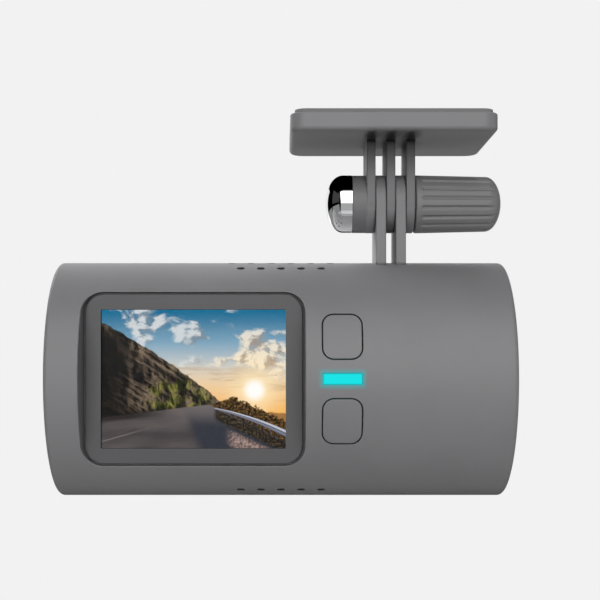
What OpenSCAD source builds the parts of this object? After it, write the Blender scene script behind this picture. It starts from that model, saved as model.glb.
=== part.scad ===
// Cylindrical dash camera that hangs from a windscreen plate by an interleaved clamp hinge.
// The origin is the centre of the adhesive pad's upper face, +Z is up, +Y points to the road
// ahead and +X points to the driver's right.

/* [Housing] */
// Outer diameter of the cylindrical housing
housing_d = 53.6; // [53.4:0.1:54.2]
// Length of the housing along its axis
housing_length = 101.2; // [101:0.2:104]
// Thickness of the housing's wall
wall = 2; // [1.8:0.1:2]
// Radius of the fillet round each end of the housing
end_fillet = 1; // [0.5:0.1:1.5]
// Distance from the housing's middle to the hinge's middle, along the axis
hinge_offset = 25; // [24:0.5:26]

/* [Display] */
// Width of the recess that the display window lies in
recess_w = 48.3; // [48.3:0.1:48.6]
// Height of the recess
recess_h = 37.9; // [37.6:0.1:38.1]
// Corner radius of the recess
recess_r = 4.5; // [3.5:0.1:5]
// Distance from the housing's middle to the recess's middle
recess_offset = 18.95; // [18.5:0.05:19]
// Distance from the housing's axis to the window's outer face
window_plane = 18.8; // [18.6:0.1:18.9]
// Gap round the window
window_gap = 0.5; // [0.3:0.1:0.6]
// Width of the display's picture
picture_w = 40.8; // [40:0.1:41]
// Height of the display's picture
picture_h = 30.6; // [30:0.1:31]

/* [Keys] */
// Distance from the housing's middle to the keys' middle
key_offset = 13.1; // [12.8:0.1:13.4]
// Width of a key
key_w = 8.3; // [8:0.1:8.5]
// Height of a key
key_h = 9.5; // [9:0.1:9.6]
// Height of a key's middle above or below the housing's axis
key_rise = 9.05; // [9:0.05:9.2]
// Corner radius of a key
key_r = 2.3; // [1.5:0.1:2.6]
// Gap round a key
key_gap = 0.25; // [0.2:0.05:0.3]
// Height of the light bar between the keys
light_h = 2.4; // [2:0.1:2.6]

/* [Vents] */
// Diameter of a vent hole
vent_d = 1.8; // [1.6:0.1:2.2]
// Distance between neighbouring vent holes in a row
vent_pitch = 4.5; // [4:0.1:4.8]
// Angle round the housing from the middle row of vents to the next
vent_angle = 12; // [10:1:16]
// Angle by which the middle row of vents leans towards the display
vent_lean = 10; // [4:1:12]

/* [Mount] */
// Length of the mount plate
plate_w = 45.9; // [44.5:0.1:46.5]
// Depth of the mount plate
plate_depth = 34.9; // [33:0.1:36]
// Thickness of the mount plate
plate_t = 4.1; // [3.5:0.1:4.5]
// Thickness of the adhesive pad
pad_t = 0.9; // [0.5:0.1:1.2]
// Distance from the adhesive face down to the hinge's axis
hinge_drop = 19; // [18.5:0.1:19.5]
// Distance from the hinge's axis down to the housing's axis
arm_drop = 40.5; // [40.5:0.1:42]
// Diameter of the fins' rounded ends, the boss, the cap and the knob
hinge_d = 13.3; // [13:0.1:13.6]
// Thickness of each of the plate's three fins
plate_fin_t = 2; // [1.8:0.1:2]
// Thickness of each of the housing's two fins
body_fin_t = 2.3; // [2.1:0.1:2.3]
// Distance between neighbouring fins of the plate
fin_pitch = 4.5; // [4.5:0.1:4.6]

/* [Clamp] */
// Diameter of the hinge bolt
bolt_d = 4; // [3.8:0.1:4]
// Radial clearance round the bolt
bolt_clear = 0.05; // [0.03:0.01:0.08]
// Length of the thumb knob
knob_length = 20; // [19:0.5:21]
// Diameter of the knob just before its rounded end
knob_end_d = 12.6; // [12:0.1:13]
// Number of flutes round the knob
knob_flutes = 18; // [16:1:20]
// Length of the bolt cap along the hinge's axis
bolt_cap_length = 6.2; // [5.5:0.1:6.5]

/* [Lens] */
// Outer diameter of the lens nose on the road side
nose_d = 25; // [24.6:0.2:25.4]
// Distance from the housing's axis to the nose's front
nose_reach = 29.8; // [29.4:0.1:31]

/* [Hidden] */
$fn = 64;

// Cutters run past the faces they cut by this much
past = 1;

// The seam of each surface turned about X lies here, between the lens and the lower vents
seam_angle = 40;

// Housing
housing_r = housing_d / 2;
inner_r = housing_r - wall;
half_length = housing_length / 2;
housing_x = -hinge_offset;
housing_z = -hinge_drop - arm_drop;
end_cap_t = 2;
end_cap_inset = 0.4;
end_cap_r = inner_r - 0.1;
cap_outer_x = half_length - end_cap_inset;
cap_inner_x = cap_outer_x - end_cap_t;

// Display stack, from the driver's side inwards
recess_x = -recess_offset;
window_t = 1.4;
gasket_t = 0.5;
panel_t = 1.5;
backlight_t = 2;
retainer_t = 0.6;
window_back_y = -window_plane + window_t;
ledge_y = window_back_y + gasket_t;
panel_back_y = ledge_y + panel_t;
backlight_back_y = panel_back_y + backlight_t;
retainer_back_y = backlight_back_y + retainer_t;
panel_w = picture_w + 2.6;
panel_h = picture_h + 2.8;
well_wall = 1.6;
display_screw_x = recess_w / 2 - 0.75;
display_screw_z = recess_h / 2 - 0.75;
display_cable_z = -10;
display_cable_x = recess_x + 1;
display_cable_w = 12;

// Chassis and main board
chassis_t = 1.5;
chassis_front_y = -10.5;
chassis_back_y = chassis_front_y + chassis_t;
chassis_half_w = 46;
chassis_half_h = 21;
end_boss_r = 2.8;
end_boss_z = 18;
end_boss_y = chassis_front_y + chassis_t / 2;
end_boss_x = 44.2;
end_screw_r = 1;
end_screw_head_r = 1.9;
end_screw_head_t = 1.2;
board_front_y = -6;
board_t = 1.2;
board_back_y = board_front_y + board_t;
board_left_x = -46.5;
board_right_x = 41;
board_half_h = 17;
board_holes = [[-28, -15], [-28, 15], [38, -15], [38, 15]];
board_screw_r = 1;

// Main board's chips
processor_x = -14;
processor_w = 14;
processor_t = 1.2;
thermal_pad_t = 0.8;
heat_sink_w = 26;
heat_sink_base_t = 2;
heat_sink_fin_h = 6;
heat_sink_fins = 7;
heat_sink_y = board_back_y + processor_t + thermal_pad_t;
memory_x = 8.5;
memory_z = 6;
shield_w = 13;
shield_h = 26;
shield_t = 2.2;
shield_wall = 0.3;
capacitor_r = 4;
capacitor_x = -46.2;
capacitor_length = 15.6;
capacitor_z = [4.5, 12.9];

// Sockets in the left end
usb_w = 8.94;
usb_h = 3.2;
usb_r = 1.5;
usb_wall = 0.3;
usb_length = 7.3;
usb_mouth_x = -cap_outer_x + 0.3;
usb_y = board_back_y + usb_h / 2;
usb_z = -9.5;
card_w = 11;
card_length = 15;
card_t = 0.75;
card_y = -7.15;
card_z = 7.5;
card_outer_x = -half_length + 0.2;
card_slack = 0.075;
card_socket_w = 14;
card_socket_x = -cap_inner_x;
card_socket_length = 15.2;
card_socket_front_y = -7.95;

// Speaker in the right end
speaker_r = 10;
speaker_t = 4.2;
magnet_r = 6;
magnet_t = 2.4;
grille_hole_r = 0.75;
grille_pitch = 3;

// Lens
lens_x = hinge_offset;
nose_r = nose_d / 2;
nose_bore_r = 10.5;
flange_y = 16;
flange_t = 2;
flange_w = 25.4;
flange_bar_w = 40;
flange_bar_h = 8;
nose_screw_x = 16.5;
nose_screw_r = 0.9;
nose_boss_r = 2.2;
post_offset = 10.5;
post_r = 1.9;
sensor_board_t = 1.2;
sensor_board_w = 26;
sensor_board_y = 0;
sensor_face_y = sensor_board_y + sensor_board_t;
sensor_screw_r = 0.8;
sensor_cable_w = 12;
sensor_cable_z = -12.3;
holder_w = 17;
holder_base_t = 3;
holder_tube_r = 8;
holder_end_y = 14;
barrel_r = 7;
barrel_back_y = 5;
barrel_step_y = 20;
barrel_front_y = 26.5;
barrel_head_r = 10.4;
front_lens_r = 9;
front_lens_back_y = 22;
front_lens_sphere_r = 16;
front_lens_tip_y = 28.8;
middle_lens_r = 5.5;
middle_lens_y = 14.5;
rear_lens_r = 4.5;
rear_lens_y = 8;
lens_ring_t = 1.5;
lens_ring_bore_r = 8.3;
filter_y = sensor_face_y + 2.2;

// Keys
key_board_y = -17.5;
key_board_t = 1;
key_board_back_y = key_board_y + key_board_t;
key_board_left = 5.1;
key_board_right = 8.9;
key_board_half_h = 15.5;
key_post_x = key_offset + 6.1;
key_post_z = 9;
key_post_r = 2;
key_screw_r = 0.8;
switch_w = 4.5;
switch_t = 2;
switch_face_y = key_board_y - switch_t;
plunger_r = 1;
plunger_clear = 0.05;
plunger_proud = 0.9;
plunger_in = 0.5;
plunger_travel = 0.7;
key_flange = 0.8;
key_flange_outer_r = inner_r - 0.2;
key_flange_inner_r = key_flange_outer_r - 1.2;
key_stem_r = 1.4;
led_t = 0.8;
led_w = 1.6;
led_pitch = 2.6;
key_cable_w = 6;

// Hinge and clamp, on the hinge's axis
hinge_r = hinge_d / 2;
bolt_r = bolt_d / 2;
bolt_hole_r = bolt_r + bolt_clear;
fin_rise = hinge_drop - pad_t - plate_t;
outer_face_x = fin_pitch + plate_fin_t / 2;
boss_length = 3.1;
boss_r = hinge_r - 0.05;
boss_face_x = -outer_face_x - boss_length;
bolt_head_across = 7;
bolt_head_t = 2.8;
bolt_head_gap = 0.1;
bolt_head_x = boss_face_x + bolt_head_gap;
bolt_shank_x = bolt_head_x + bolt_head_t;
bolt_end_x = 17.5;
spigot_r = 5;
spigot_length = 1.2;
spigot_bore_r = 4.3;
cap_dome_length = 4.1;
washer_t = 0.3;
washer_r = 6;
knob_x = outer_face_x + washer_t;
knob_end_x = knob_x + knob_length;
knob_collar = 1;
knob_dome_length = 3.6;
knob_end_r = knob_end_d / 2;
knob_taper_end_x = knob_end_x - knob_dome_length;
insert_r = 3.6;
insert_length = 8;
knob_bore_r = 2.5;
knob_bore_end_x = 19.5;
flute_r = 0.9;
flute_phase = 3.6;
flute_depth = 0.42;
dome_steps = 14;

housing_grey = [0.5, 0.5, 0.51];
knob_grey = [0.45, 0.45, 0.46];
plate_grey = [0.53, 0.53, 0.54];
board_green = [0.1, 0.35, 0.2];
chip_black = [0.12, 0.12, 0.13];
steel_grey = [0.7, 0.7, 0.72];
copper_orange = [0.75, 0.45, 0.2];

// ---- Helpers ----

// Puts what is drawn round the housing's own axis in its place
module in_housing() {
    translate([housing_x, 0, housing_z]) children();
}

// Puts what is drawn round the hinge's axis in its place
module in_hinge() {
    translate([0, 0, -hinge_drop]) children();
}

// Box between two opposite corners
module block(low, high) {
    translate(low) cube(high - low);
}

// Cylinder along X from x0 to x1
module rod_x(x0, x1, r) {
    translate([x0, 0, 0]) rotate([0, 90, 0]) rotate([0, 0, seam_angle]) cylinder(r = r, h = x1 - x0);
}

// Cylinder along Y from y0 to y1
module rod_y(y0, y1, r) {
    translate([0, y0, 0]) rotate([-90, 0, 0]) cylinder(r = r, h = y1 - y0);
}

// Rectangle with round corners, about the origin
module rounded_rectangle(w, h, r) {
    square([w - 2 * r, h], center = true);
    square([w, h - 2 * r], center = true);
    for (sx = [-1, 1], sy = [-1, 1])
        translate([sx * (w / 2 - r), sy * (h / 2 - r)]) circle(r);
}

// Round-cornered prism that runs along Y from y0 to y1
module prism_y(w, h, r, y0, y1) {
    translate([0, y1, 0]) rotate([90, 0, 0]) linear_extrude(y1 - y0) rounded_rectangle(w, h, r);
}

// Round-cornered prism that runs along X from x0 to x1, w along Y and h along Z
module prism_x(w, h, r, x0, x1) {
    translate([x0, 0, 0]) rotate([90, 0, 90]) linear_extrude(x1 - x0) rounded_rectangle(w, h, r);
}

// Turned body along X: points are [radius, x]
module turned_x(points) {
    rotate([0, 90, 0]) rotate_extrude() polygon(points);
}

// Points of a quarter ellipse from [r, x0] to the axis at x0 + reach
function dome_points(r, x0, reach) =
    [for (i = [0 : dome_steps]) let (a = 90 * i / dome_steps) [r * cos(a), x0 + reach * sin(a)]];

// Machine screw along +Y: its head's top is at y0 and its tip at y1
module screw_y(y0, y1, head_r, head_t, shank_r) {
    difference() {
        union() {
            rod_y(y0, y0 + head_t, head_r);
            rod_y(y0, y1, shank_r);
        }
        for (turn = [0, 90])
            rotate([0, turn, 0])
                block([-head_r * 0.6, y0 - past, -0.15], [head_r * 0.6, y0 + head_t / 2, 0.15]);
    }
}

// ---- Windscreen mount ----

// Outline of a hinge fin: a round end at the hinge's axis and a straight shank of the given length
module fin_outline(shank) {
    circle(hinge_r);
    translate([-hinge_r, 0]) square([hinge_d, shank]);
}

// Fin between x0 and x1 that rises to the mount plate
module plate_fin(x0, x1) {
    translate([x0, 0, 0]) rotate([90, 0, 90]) linear_extrude(x1 - x0) fin_outline(fin_rise + 0.5);
}

module mount_plate() {
    color(plate_grey) difference() {
        union() {
            translate([0, 0, -pad_t - plate_t]) linear_extrude(plate_t)
                rounded_rectangle(plate_w, plate_depth, 3.5);
            in_hinge() {
                for (i = [-1 : 1])
                    plate_fin(i * fin_pitch - plate_fin_t / 2, i * fin_pitch + plate_fin_t / 2);
                rod_x(boss_face_x, -outer_face_x, boss_r);
            }
        }
        in_hinge() {
            rod_x(boss_face_x - past, outer_face_x + past, bolt_hole_r);
            rod_x(boss_face_x - past, boss_face_x + spigot_length, spigot_r);
            hexagon_x(boss_face_x - past, bolt_shank_x, bolt_head_across + 0.1);
        }
    }
}

module adhesive_pad() {
    color([0.47, 0.47, 0.48]) translate([0, 0, -pad_t]) linear_extrude(pad_t)
        rounded_rectangle(plate_w - 2, plate_depth - 2, 2.5);
}

// Hexagonal prism along X, given its size across the flats
module hexagon_x(x0, x1, across) {
    translate([x0, 0, 0]) rotate([0, 90, 0]) cylinder(r = across / sqrt(3), h = x1 - x0, $fn = 6);
}

module hinge_bolt() {
    color(steel_grey) in_hinge() {
        hexagon_x(bolt_head_x, bolt_shank_x, bolt_head_across);
        rod_x(bolt_shank_x - 0.5, bolt_end_x - 0.5, bolt_r);
        translate([bolt_end_x - 0.5, 0, 0]) rotate([0, 90, 0])
            cylinder(r1 = bolt_r, r2 = bolt_r - 0.5, h = 0.5);
    }
}

module bolt_cap() {
    straight = bolt_cap_length - cap_dome_length;
    color([0.85, 0.85, 0.87]) in_hinge() difference() {
        union() {
            mirror([1, 0, 0]) turned_x(concat(
                [[0, -boss_face_x], [hinge_r, -boss_face_x]],
                dome_points(hinge_r, -boss_face_x + straight, cap_dome_length)));
            rod_x(boss_face_x - 0.5, boss_face_x + spigot_length, spigot_r);
        }
        rod_x(boss_face_x - straight, boss_face_x + spigot_length + past, spigot_bore_r);
    }
}

// ---- Clamp ----

module clamp_washer() {
    color(chip_black) in_hinge() difference() {
        rod_x(outer_face_x, knob_x, washer_r);
        rod_x(outer_face_x - past, knob_x + past, bolt_hole_r);
    }
}

// One flute's cutter, which leans with the knob's taper and runs out in the dome
module flute_cutter() {
    lean = atan((hinge_r - knob_end_r) / (knob_taper_end_x - knob_x));
    translate([knob_x + knob_collar, 0, hinge_r + flute_r - flute_depth])
        rotate([0, lean, 0]) {
            rod_x(0, knob_length, flute_r);
            sphere(flute_r);
        }
}

module clamp_knob() {
    color(knob_grey) in_hinge() difference() {
        turned_x(concat(
            [[0, knob_x], [hinge_r, knob_x], [hinge_r, knob_x + knob_collar]],
            dome_points(knob_end_r, knob_taper_end_x, knob_dome_length)));
        for (i = [0 : knob_flutes - 1])
            rotate([flute_phase + 360 * i / knob_flutes, 0, 0]) flute_cutter();
        rod_x(knob_x - past, knob_x + insert_length, insert_r);
        rod_x(knob_x, knob_bore_end_x, knob_bore_r);
    }
}

module knob_insert() {
    color([0.8, 0.65, 0.3]) in_hinge() difference() {
        rod_x(knob_x, knob_x + insert_length, insert_r);
        rod_x(knob_x - past, knob_x + insert_length + past, bolt_hole_r);
    }
}

// ---- Housing ----

// Solid outline of the housing, a cylinder with a fillet round each end
module housing_envelope() {
    rotate([0, 90, 0]) rotate([0, 0, seam_angle]) rotate_extrude() difference() {
        translate([0, -half_length]) square([housing_r, housing_length]);
        for (side = [-1, 1])
            translate([housing_r - end_fillet, side * (half_length - end_fillet)])
                difference() {
                    translate([0, side > 0 ? 0 : -end_fillet - past])
                        square([end_fillet + past, end_fillet + past]);
                    circle(end_fillet);
                }
    }
}

// Fin of the housing between x0 and x1, measured from the hinge's middle
module housing_fin(x0, x1) {
    translate([hinge_offset + x0, 0, arm_drop]) rotate([90, 0, 90]) linear_extrude(x1 - x0)
        mirror([0, 1]) fin_outline(arm_drop - inner_r);
}

// Rows of round vent holes along the top, mirrored along the bottom
module vent_cutters() {
    for (side = [0, 180], row = [-1 : 1]) {
        count = row == 0 ? 6 : 5;
        lean = side == 0 ? vent_lean : -vent_lean;
        rotate([side + lean + row * vent_angle, 0, 0])
            for (i = [0 : count - 1])
                translate([(i - (count - 1) / 2) * vent_pitch, 0, inner_r - past])
                    cylinder(d = vent_d, h = wall + 2 * past, $fn = 32);
    }
}

// Places children at the two keys, the upper one first
module at_keys() {
    for (side = [1, -1]) translate([key_offset, 0, side * key_rise]) children();
}

module housing() {
    color(housing_grey) in_housing() difference() {
        union() {
            difference() {
                union() {
                    housing_envelope();
                    for (side = [-1, 1])
                        housing_fin(side * fin_pitch / 2 - body_fin_t / 2,
                            side * fin_pitch / 2 + body_fin_t / 2);
                }
                rod_x(-half_length - past, half_length + past, inner_r);
            }
            intersection() {
                rod_x(-half_length + past, half_length - past, housing_r - 0.2);
                union() {
                    translate([recess_x, 0, 0])
                        prism_y(recess_w + 2 * well_wall, recess_h + 2 * well_wall,
                            recess_r + well_wall, -housing_r, backlight_back_y);
                    for (side = [-1, 1])
                        translate([lens_x + side * nose_screw_x, 0, 0])
                            rod_y(flange_y + flange_t, housing_r - wall / 2, nose_boss_r);
                }
            }
        }
        translate([recess_x, 0, 0]) {
            prism_y(recess_w, recess_h, recess_r, -housing_r - past, ledge_y);
            prism_y(panel_w + 0.2, panel_h + 0.2, 0.5, ledge_y - past, backlight_back_y + past);
            for (sx = [-1, 1], sz = [-1, 1])
                translate([sx * display_screw_x, 0, sz * display_screw_z])
                    rod_y(backlight_back_y - 2.6, backlight_back_y + past, 0.7);
        }
        at_keys()
            prism_y(key_w + 2 * key_gap, key_h + 2 * key_gap, key_r + key_gap,
                -housing_r - past, -inner_r / 2);
        translate([key_offset, 0, 0])
            block([-key_w / 2, -housing_r - past, -light_h / 2], [key_w / 2, -inner_r / 2, light_h / 2]);
        vent_cutters();
        translate([lens_x, 0, 0]) {
            rod_y(inner_r / 2, housing_r + past, nose_r);
            for (side = [-1, 1])
                translate([side * nose_screw_x, 0, 0])
                    rod_y(flange_y, flange_y + flange_t + 4, nose_screw_r);
        }
        translate([hinge_offset - hinge_d, 0, arm_drop]) rod_x(0, 2 * hinge_d, bolt_hole_r);
    }
}

// Places children at the two screws of the right end, mirrored for the left
module at_end_screws() {
    for (side = [-1, 1]) translate([0, end_boss_y, side * end_boss_z]) children();
}

// Round cover that fills the right end of the housing, with its screws' counterbores
module end_cap_blank() {
    difference() {
        rod_x(cap_inner_x, cap_outer_x, end_cap_r);
        at_end_screws() {
            rod_x(cap_inner_x - past, cap_outer_x + past, end_screw_r + 0.1);
            rod_x(cap_outer_x - end_screw_head_t - 0.1, cap_outer_x + past, end_screw_head_r + 0.1);
        }
    }
}

module left_end_cap() {
    color(housing_grey) in_housing() difference() {
        mirror([1, 0, 0]) end_cap_blank();
        translate([0, usb_y, usb_z])
            prism_x(usb_h + 0.3, usb_w + 0.3, usb_r + 0.15, -half_length - past, -cap_inner_x + past);
        translate([0, card_y, card_z]) {
            block([-half_length - past, -0.65, -card_w / 2 - 0.3],
                [-cap_inner_x + past, 0.65, card_w / 2 + 0.3]);
            translate([-cap_outer_x - 6.2, 0, 0]) sphere(7);
        }
    }
}

module right_end_cap() {
    color(housing_grey) in_housing() difference() {
        end_cap_blank();
        for (row = [-2 : 2], i = [0 : 4 - abs(row)])
            translate([0, (i - (4 - abs(row)) / 2) * grille_pitch, row * grille_pitch * sin(60)])
                rod_x(cap_inner_x - past, cap_outer_x + past, grille_hole_r, $fn = 24);
    }
}

// One screw that holds the right end cover to the chassis
module end_screw() {
    difference() {
        union() {
            rod_x(cap_outer_x - end_screw_head_t, cap_outer_x - 0.1, end_screw_head_r);
            rod_x(end_boss_x + 0.4, cap_outer_x - 0.2, end_screw_r);
        }
        for (turn = [0, 90])
            rotate([turn, 0, 0])
                block([cap_outer_x - 0.7, -1.2, -0.2], [cap_outer_x + past, 1.2, 0.2]);
    }
}

module end_cap_screws() {
    color(steel_grey) in_housing() for (end = [0, 1])
        mirror([end, 0, 0]) at_end_screws() end_screw();
}

module chassis() {
    color([0.2, 0.2, 0.22]) in_housing() difference() {
        union() {
            block([-chassis_half_w, chassis_front_y, -chassis_half_h],
                [chassis_half_w, chassis_back_y, chassis_half_h]);
            for (end = [0, 1])
                mirror([end, 0, 0]) at_end_screws() rod_x(end_boss_x, cap_inner_x, end_boss_r);
            for (hole = board_holes)
                translate([hole[0], 0, hole[1]]) rod_y(chassis_front_y, board_front_y, 2.5);
            for (side = [-1, 1])
                translate([key_post_x, 0, side * key_post_z])
                    rod_y(key_board_back_y, chassis_back_y, key_post_r);
        }
        for (end = [0, 1])
            mirror([end, 0, 0]) at_end_screws() rod_x(end_boss_x + 0.4, cap_inner_x + past, end_screw_r);
        for (hole = board_holes)
            translate([hole[0], 0, hole[1]])
                rod_y(chassis_front_y - past, board_front_y + past, board_screw_r);
        for (side = [-1, 1])
            translate([key_post_x, 0, side * key_post_z])
                rod_y(key_board_back_y - past, key_board_back_y + 4, key_screw_r);
        translate([display_cable_x, 0, display_cable_z])
            block([-display_cable_w / 2 - 0.5, chassis_front_y - past, -0.6],
                [display_cable_w / 2 + 0.5, chassis_back_y + past, 0.6]);
        translate([key_offset, 0, 0])
            block([-key_cable_w / 2 - 0.5, chassis_front_y - past, -0.6],
                [key_cable_w / 2 + 0.5, chassis_back_y + past, 0.6]);
        block([cap_inner_x - speaker_t - magnet_t, chassis_front_y - past, -speaker_r - 1],
            [cap_inner_x, chassis_back_y + past, speaker_r + 1]);
    }
}

// ---- Display ----

// Puts what is drawn round the display's middle in its place
module in_display() {
    in_housing() translate([recess_x, 0, 0]) children();
}

module display_window() {
    color([0.3, 0.3, 0.32, 0.6]) in_display()
        prism_y(recess_w - 2 * window_gap, recess_h - 2 * window_gap, recess_r - window_gap,
            -window_plane, window_back_y);
}

module display_gasket() {
    color(chip_black) in_display() difference() {
        prism_y(recess_w - 1.6, recess_h - 1.6, recess_r - 0.8, window_back_y, ledge_y);
        prism_y(picture_w, picture_h, 0.3, window_back_y - past, ledge_y + past);
    }
}

module lcd_panel() {
    color([0.4, 0.6, 0.8]) in_display() prism_y(panel_w, panel_h, 0.4, ledge_y, panel_back_y);
}

module backlight() {
    color([0.9, 0.9, 0.88]) in_display() prism_y(panel_w, panel_h, 0.4, panel_back_y, backlight_back_y);
}

module display_retainer() {
    color(steel_grey) in_display() difference() {
        prism_y(2 * display_screw_x + 3, 2 * display_screw_z + 2.6, 1, backlight_back_y, retainer_back_y);
        for (sx = [-1, 1], sz = [-1, 1])
            translate([sx * display_screw_x, 0, sz * display_screw_z])
                rod_y(backlight_back_y - past, retainer_back_y + past, 0.8);
        translate([display_cable_x - recess_x, 0, display_cable_z])
            block([-display_cable_w / 2 - 0.5, backlight_back_y - past, -0.6],
                [display_cable_w / 2 + 0.5, retainer_back_y + past, 0.6]);
    }
}

module display_screws() {
    color(steel_grey) in_display() for (sx = [-1, 1], sz = [-1, 1])
        translate([sx * display_screw_x, 0, sz * display_screw_z])
            mirror([0, 1, 0])
                screw_y(-retainer_back_y - 1, -backlight_back_y + 2.5, 1.3, 1, 0.7);
}

module display_cable() {
    connector_y = board_front_y - 1.5;
    color(copper_orange) in_housing() translate([display_cable_x, 0, display_cable_z])
        block([-display_cable_w / 2, backlight_back_y, -0.15], [display_cable_w / 2, connector_y, 0.15]);
}

module display_connector() {
    color([0.85, 0.83, 0.78]) in_housing() translate([display_cable_x, 0, display_cable_z])
        block([-display_cable_w / 2 - 1, board_front_y - 1.5, -1.5],
            [display_cable_w / 2 + 1, board_front_y, 1.5]);
}

// ---- Main board ----

module main_board() {
    color(board_green) in_housing() difference() {
        block([board_left_x, board_front_y, -board_half_h], [board_right_x, board_back_y, board_half_h]);
        for (hole = board_holes)
            translate([hole[0], 0, hole[1]])
                rod_y(board_front_y - past, board_back_y + past, board_screw_r + 0.1);
    }
}

module board_screws() {
    color(steel_grey) in_housing() for (hole = board_holes)
        translate([hole[0], 0, hole[1]]) mirror([0, 1, 0])
            screw_y(-board_back_y - 1.4, -chassis_front_y, 1.9, 1.4, board_screw_r);
}

// Flat chip on the main board's road side, w along X and h along Z
module chip(x, z, w, h, t) {
    in_housing() translate([x, 0, z])
        block([-w / 2, board_back_y, -h / 2], [w / 2, board_back_y + t, h / 2]);
}

module processor() {
    color(chip_black) chip(processor_x, 0, processor_w, processor_w, processor_t);
}

module thermal_pad() {
    color([0.6, 0.65, 0.75]) translate([0, processor_t, 0])
        chip(processor_x, 0, processor_w - 1, processor_w - 1, thermal_pad_t);
}

module heat_sink() {
    fin_t = 1;
    step = (heat_sink_w - fin_t) / (heat_sink_fins - 1);
    color([0.75, 0.76, 0.78]) in_housing() translate([processor_x, heat_sink_y, 0]) {
        block([-heat_sink_w / 2, 0, -heat_sink_w / 2], [heat_sink_w / 2, heat_sink_base_t, heat_sink_w / 2]);
        for (i = [0 : heat_sink_fins - 1])
            translate([-heat_sink_w / 2 + i * step, 0, -heat_sink_w / 2])
                cube([fin_t, heat_sink_base_t + heat_sink_fin_h, heat_sink_w]);
    }
}

module ram_chip() {
    color(chip_black) chip(memory_x, memory_z, 9, 10, 1);
}

module flash_chip() {
    color(chip_black) chip(memory_x, -memory_z, 9, 10, 1);
}

module shield_can() {
    color(steel_grey) difference() {
        chip(memory_x, 0, shield_w, shield_h, shield_t);
        translate([0, -shield_wall, 0])
            chip(memory_x, 0, shield_w - 2 * shield_wall, shield_h - 2 * shield_wall, shield_t);
    }
}

module supercapacitors() {
    color([0.15, 0.2, 0.45]) in_housing() for (z = capacitor_z)
        translate([0, board_back_y + capacitor_r, z])
            rod_x(capacitor_x, capacitor_x + capacitor_length, capacitor_r);
}

module microphone() {
    color([0.8, 0.7, 0.4]) chip(-30, -8, 3.8, 3, 1.1);
}

module usb_socket() {
    color(steel_grey) in_housing() translate([0, usb_y, usb_z]) {
        difference() {
            prism_x(usb_h, usb_w, usb_r, usb_mouth_x, usb_mouth_x + usb_length);
            prism_x(usb_h - 2 * usb_wall, usb_w - 2 * usb_wall, usb_r - usb_wall,
                usb_mouth_x - past, usb_mouth_x + usb_length - 1);
        }
        block([usb_mouth_x + 0.8, -0.35, -3.3], [usb_mouth_x + usb_length, 0.35, 3.3]);
    }
}

module card_socket() {
    color(steel_grey) in_housing() difference() {
        block([card_socket_x, card_socket_front_y, card_z - card_socket_w / 2],
            [card_socket_x + card_socket_length, board_front_y, card_z + card_socket_w / 2]);
        translate([0, card_y, card_z])
            block([card_socket_x - past, -card_t / 2 - card_slack, -card_w / 2 - card_slack],
                [card_outer_x + card_length + 0.3, card_t / 2 + card_slack, card_w / 2 + card_slack]);
    }
}

module memory_card() {
    grip = 1;
    color([0.1, 0.1, 0.11]) in_housing() translate([card_outer_x, card_y, card_z]) difference() {
        block([0, -card_t / 2, -card_w / 2], [card_length, card_t / 2, card_w / 2]);
        block([6, -past, -card_w / 2 - past], [7.2, past, -card_w / 2 + 0.7]);
        block([grip, -card_t, -3], [grip + 0.8, -card_t / 2 + 0.15, 3]);
    }
}

module speaker() {
    color([0.3, 0.3, 0.32]) in_housing() {
        rod_x(cap_inner_x - speaker_t, cap_inner_x, speaker_r);
        rod_x(cap_inner_x - speaker_t - magnet_t, cap_inner_x - speaker_t + 0.5, magnet_r);
    }
}

// ---- Lens and image sensor, looking along +Y ----

// Puts what is drawn round the lens's axis in its place
module in_lens() {
    in_housing() translate([lens_x, 0, 0]) children();
}

// Places children at the four posts that carry the sensor board
module at_posts() {
    for (sx = [-1, 1], sz = [-1, 1])
        translate([sx * post_offset, 0, sz * post_offset]) children();
}

module lens_nose() {
    color(chip_black) in_lens() difference() {
        union() {
            rod_y(flange_y, nose_reach, nose_r);
            prism_y(flange_w, flange_w, 3, flange_y, flange_y + flange_t);
            prism_y(flange_bar_w, flange_bar_h, 3.5, flange_y, flange_y + flange_t);
            at_posts() rod_y(sensor_face_y, flange_y + 0.5, post_r);
        }
        rod_y(flange_y - past, nose_reach + past, nose_bore_r);
        translate([0, nose_reach - 1.2, 0]) rotate([-90, 0, 0])
            cylinder(r1 = nose_bore_r, r2 = nose_bore_r + 1.2, h = 1.2);
        at_posts() rod_y(sensor_face_y - past, sensor_face_y + 5, sensor_screw_r);
        for (side = [-1, 1])
            translate([side * nose_screw_x, 0, 0])
                rod_y(flange_y - past, flange_y + flange_t + past, nose_screw_r + 0.1);
    }
}

module nose_screws() {
    color(steel_grey) in_lens() for (side = [-1, 1])
        translate([side * nose_screw_x, 0, 0])
            screw_y(flange_y - 1.3, flange_y + flange_t + 3.5, 1.8, 1.3, nose_screw_r);
}

module lens_holder() {
    color(chip_black) in_lens() difference() {
        union() {
            prism_y(holder_w, holder_w, 1.5, sensor_face_y, sensor_face_y + holder_base_t);
            rod_y(sensor_face_y, holder_end_y, holder_tube_r);
        }
        rod_y(filter_y, holder_end_y + past, barrel_r);
        prism_y(11, 11, 0.5, sensor_face_y - past, filter_y);
    }
}

module lens_barrel() {
    color([0.1, 0.1, 0.11]) in_lens() difference() {
        union() {
            rod_y(barrel_back_y, barrel_step_y, barrel_r);
            rod_y(barrel_step_y, barrel_front_y, barrel_head_r);
        }
        rod_y(barrel_back_y - past, middle_lens_y - 3, rear_lens_r);
        rod_y(middle_lens_y - 3, front_lens_back_y, middle_lens_r);
        rod_y(front_lens_back_y, barrel_front_y + past, front_lens_r);
    }
}

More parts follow.
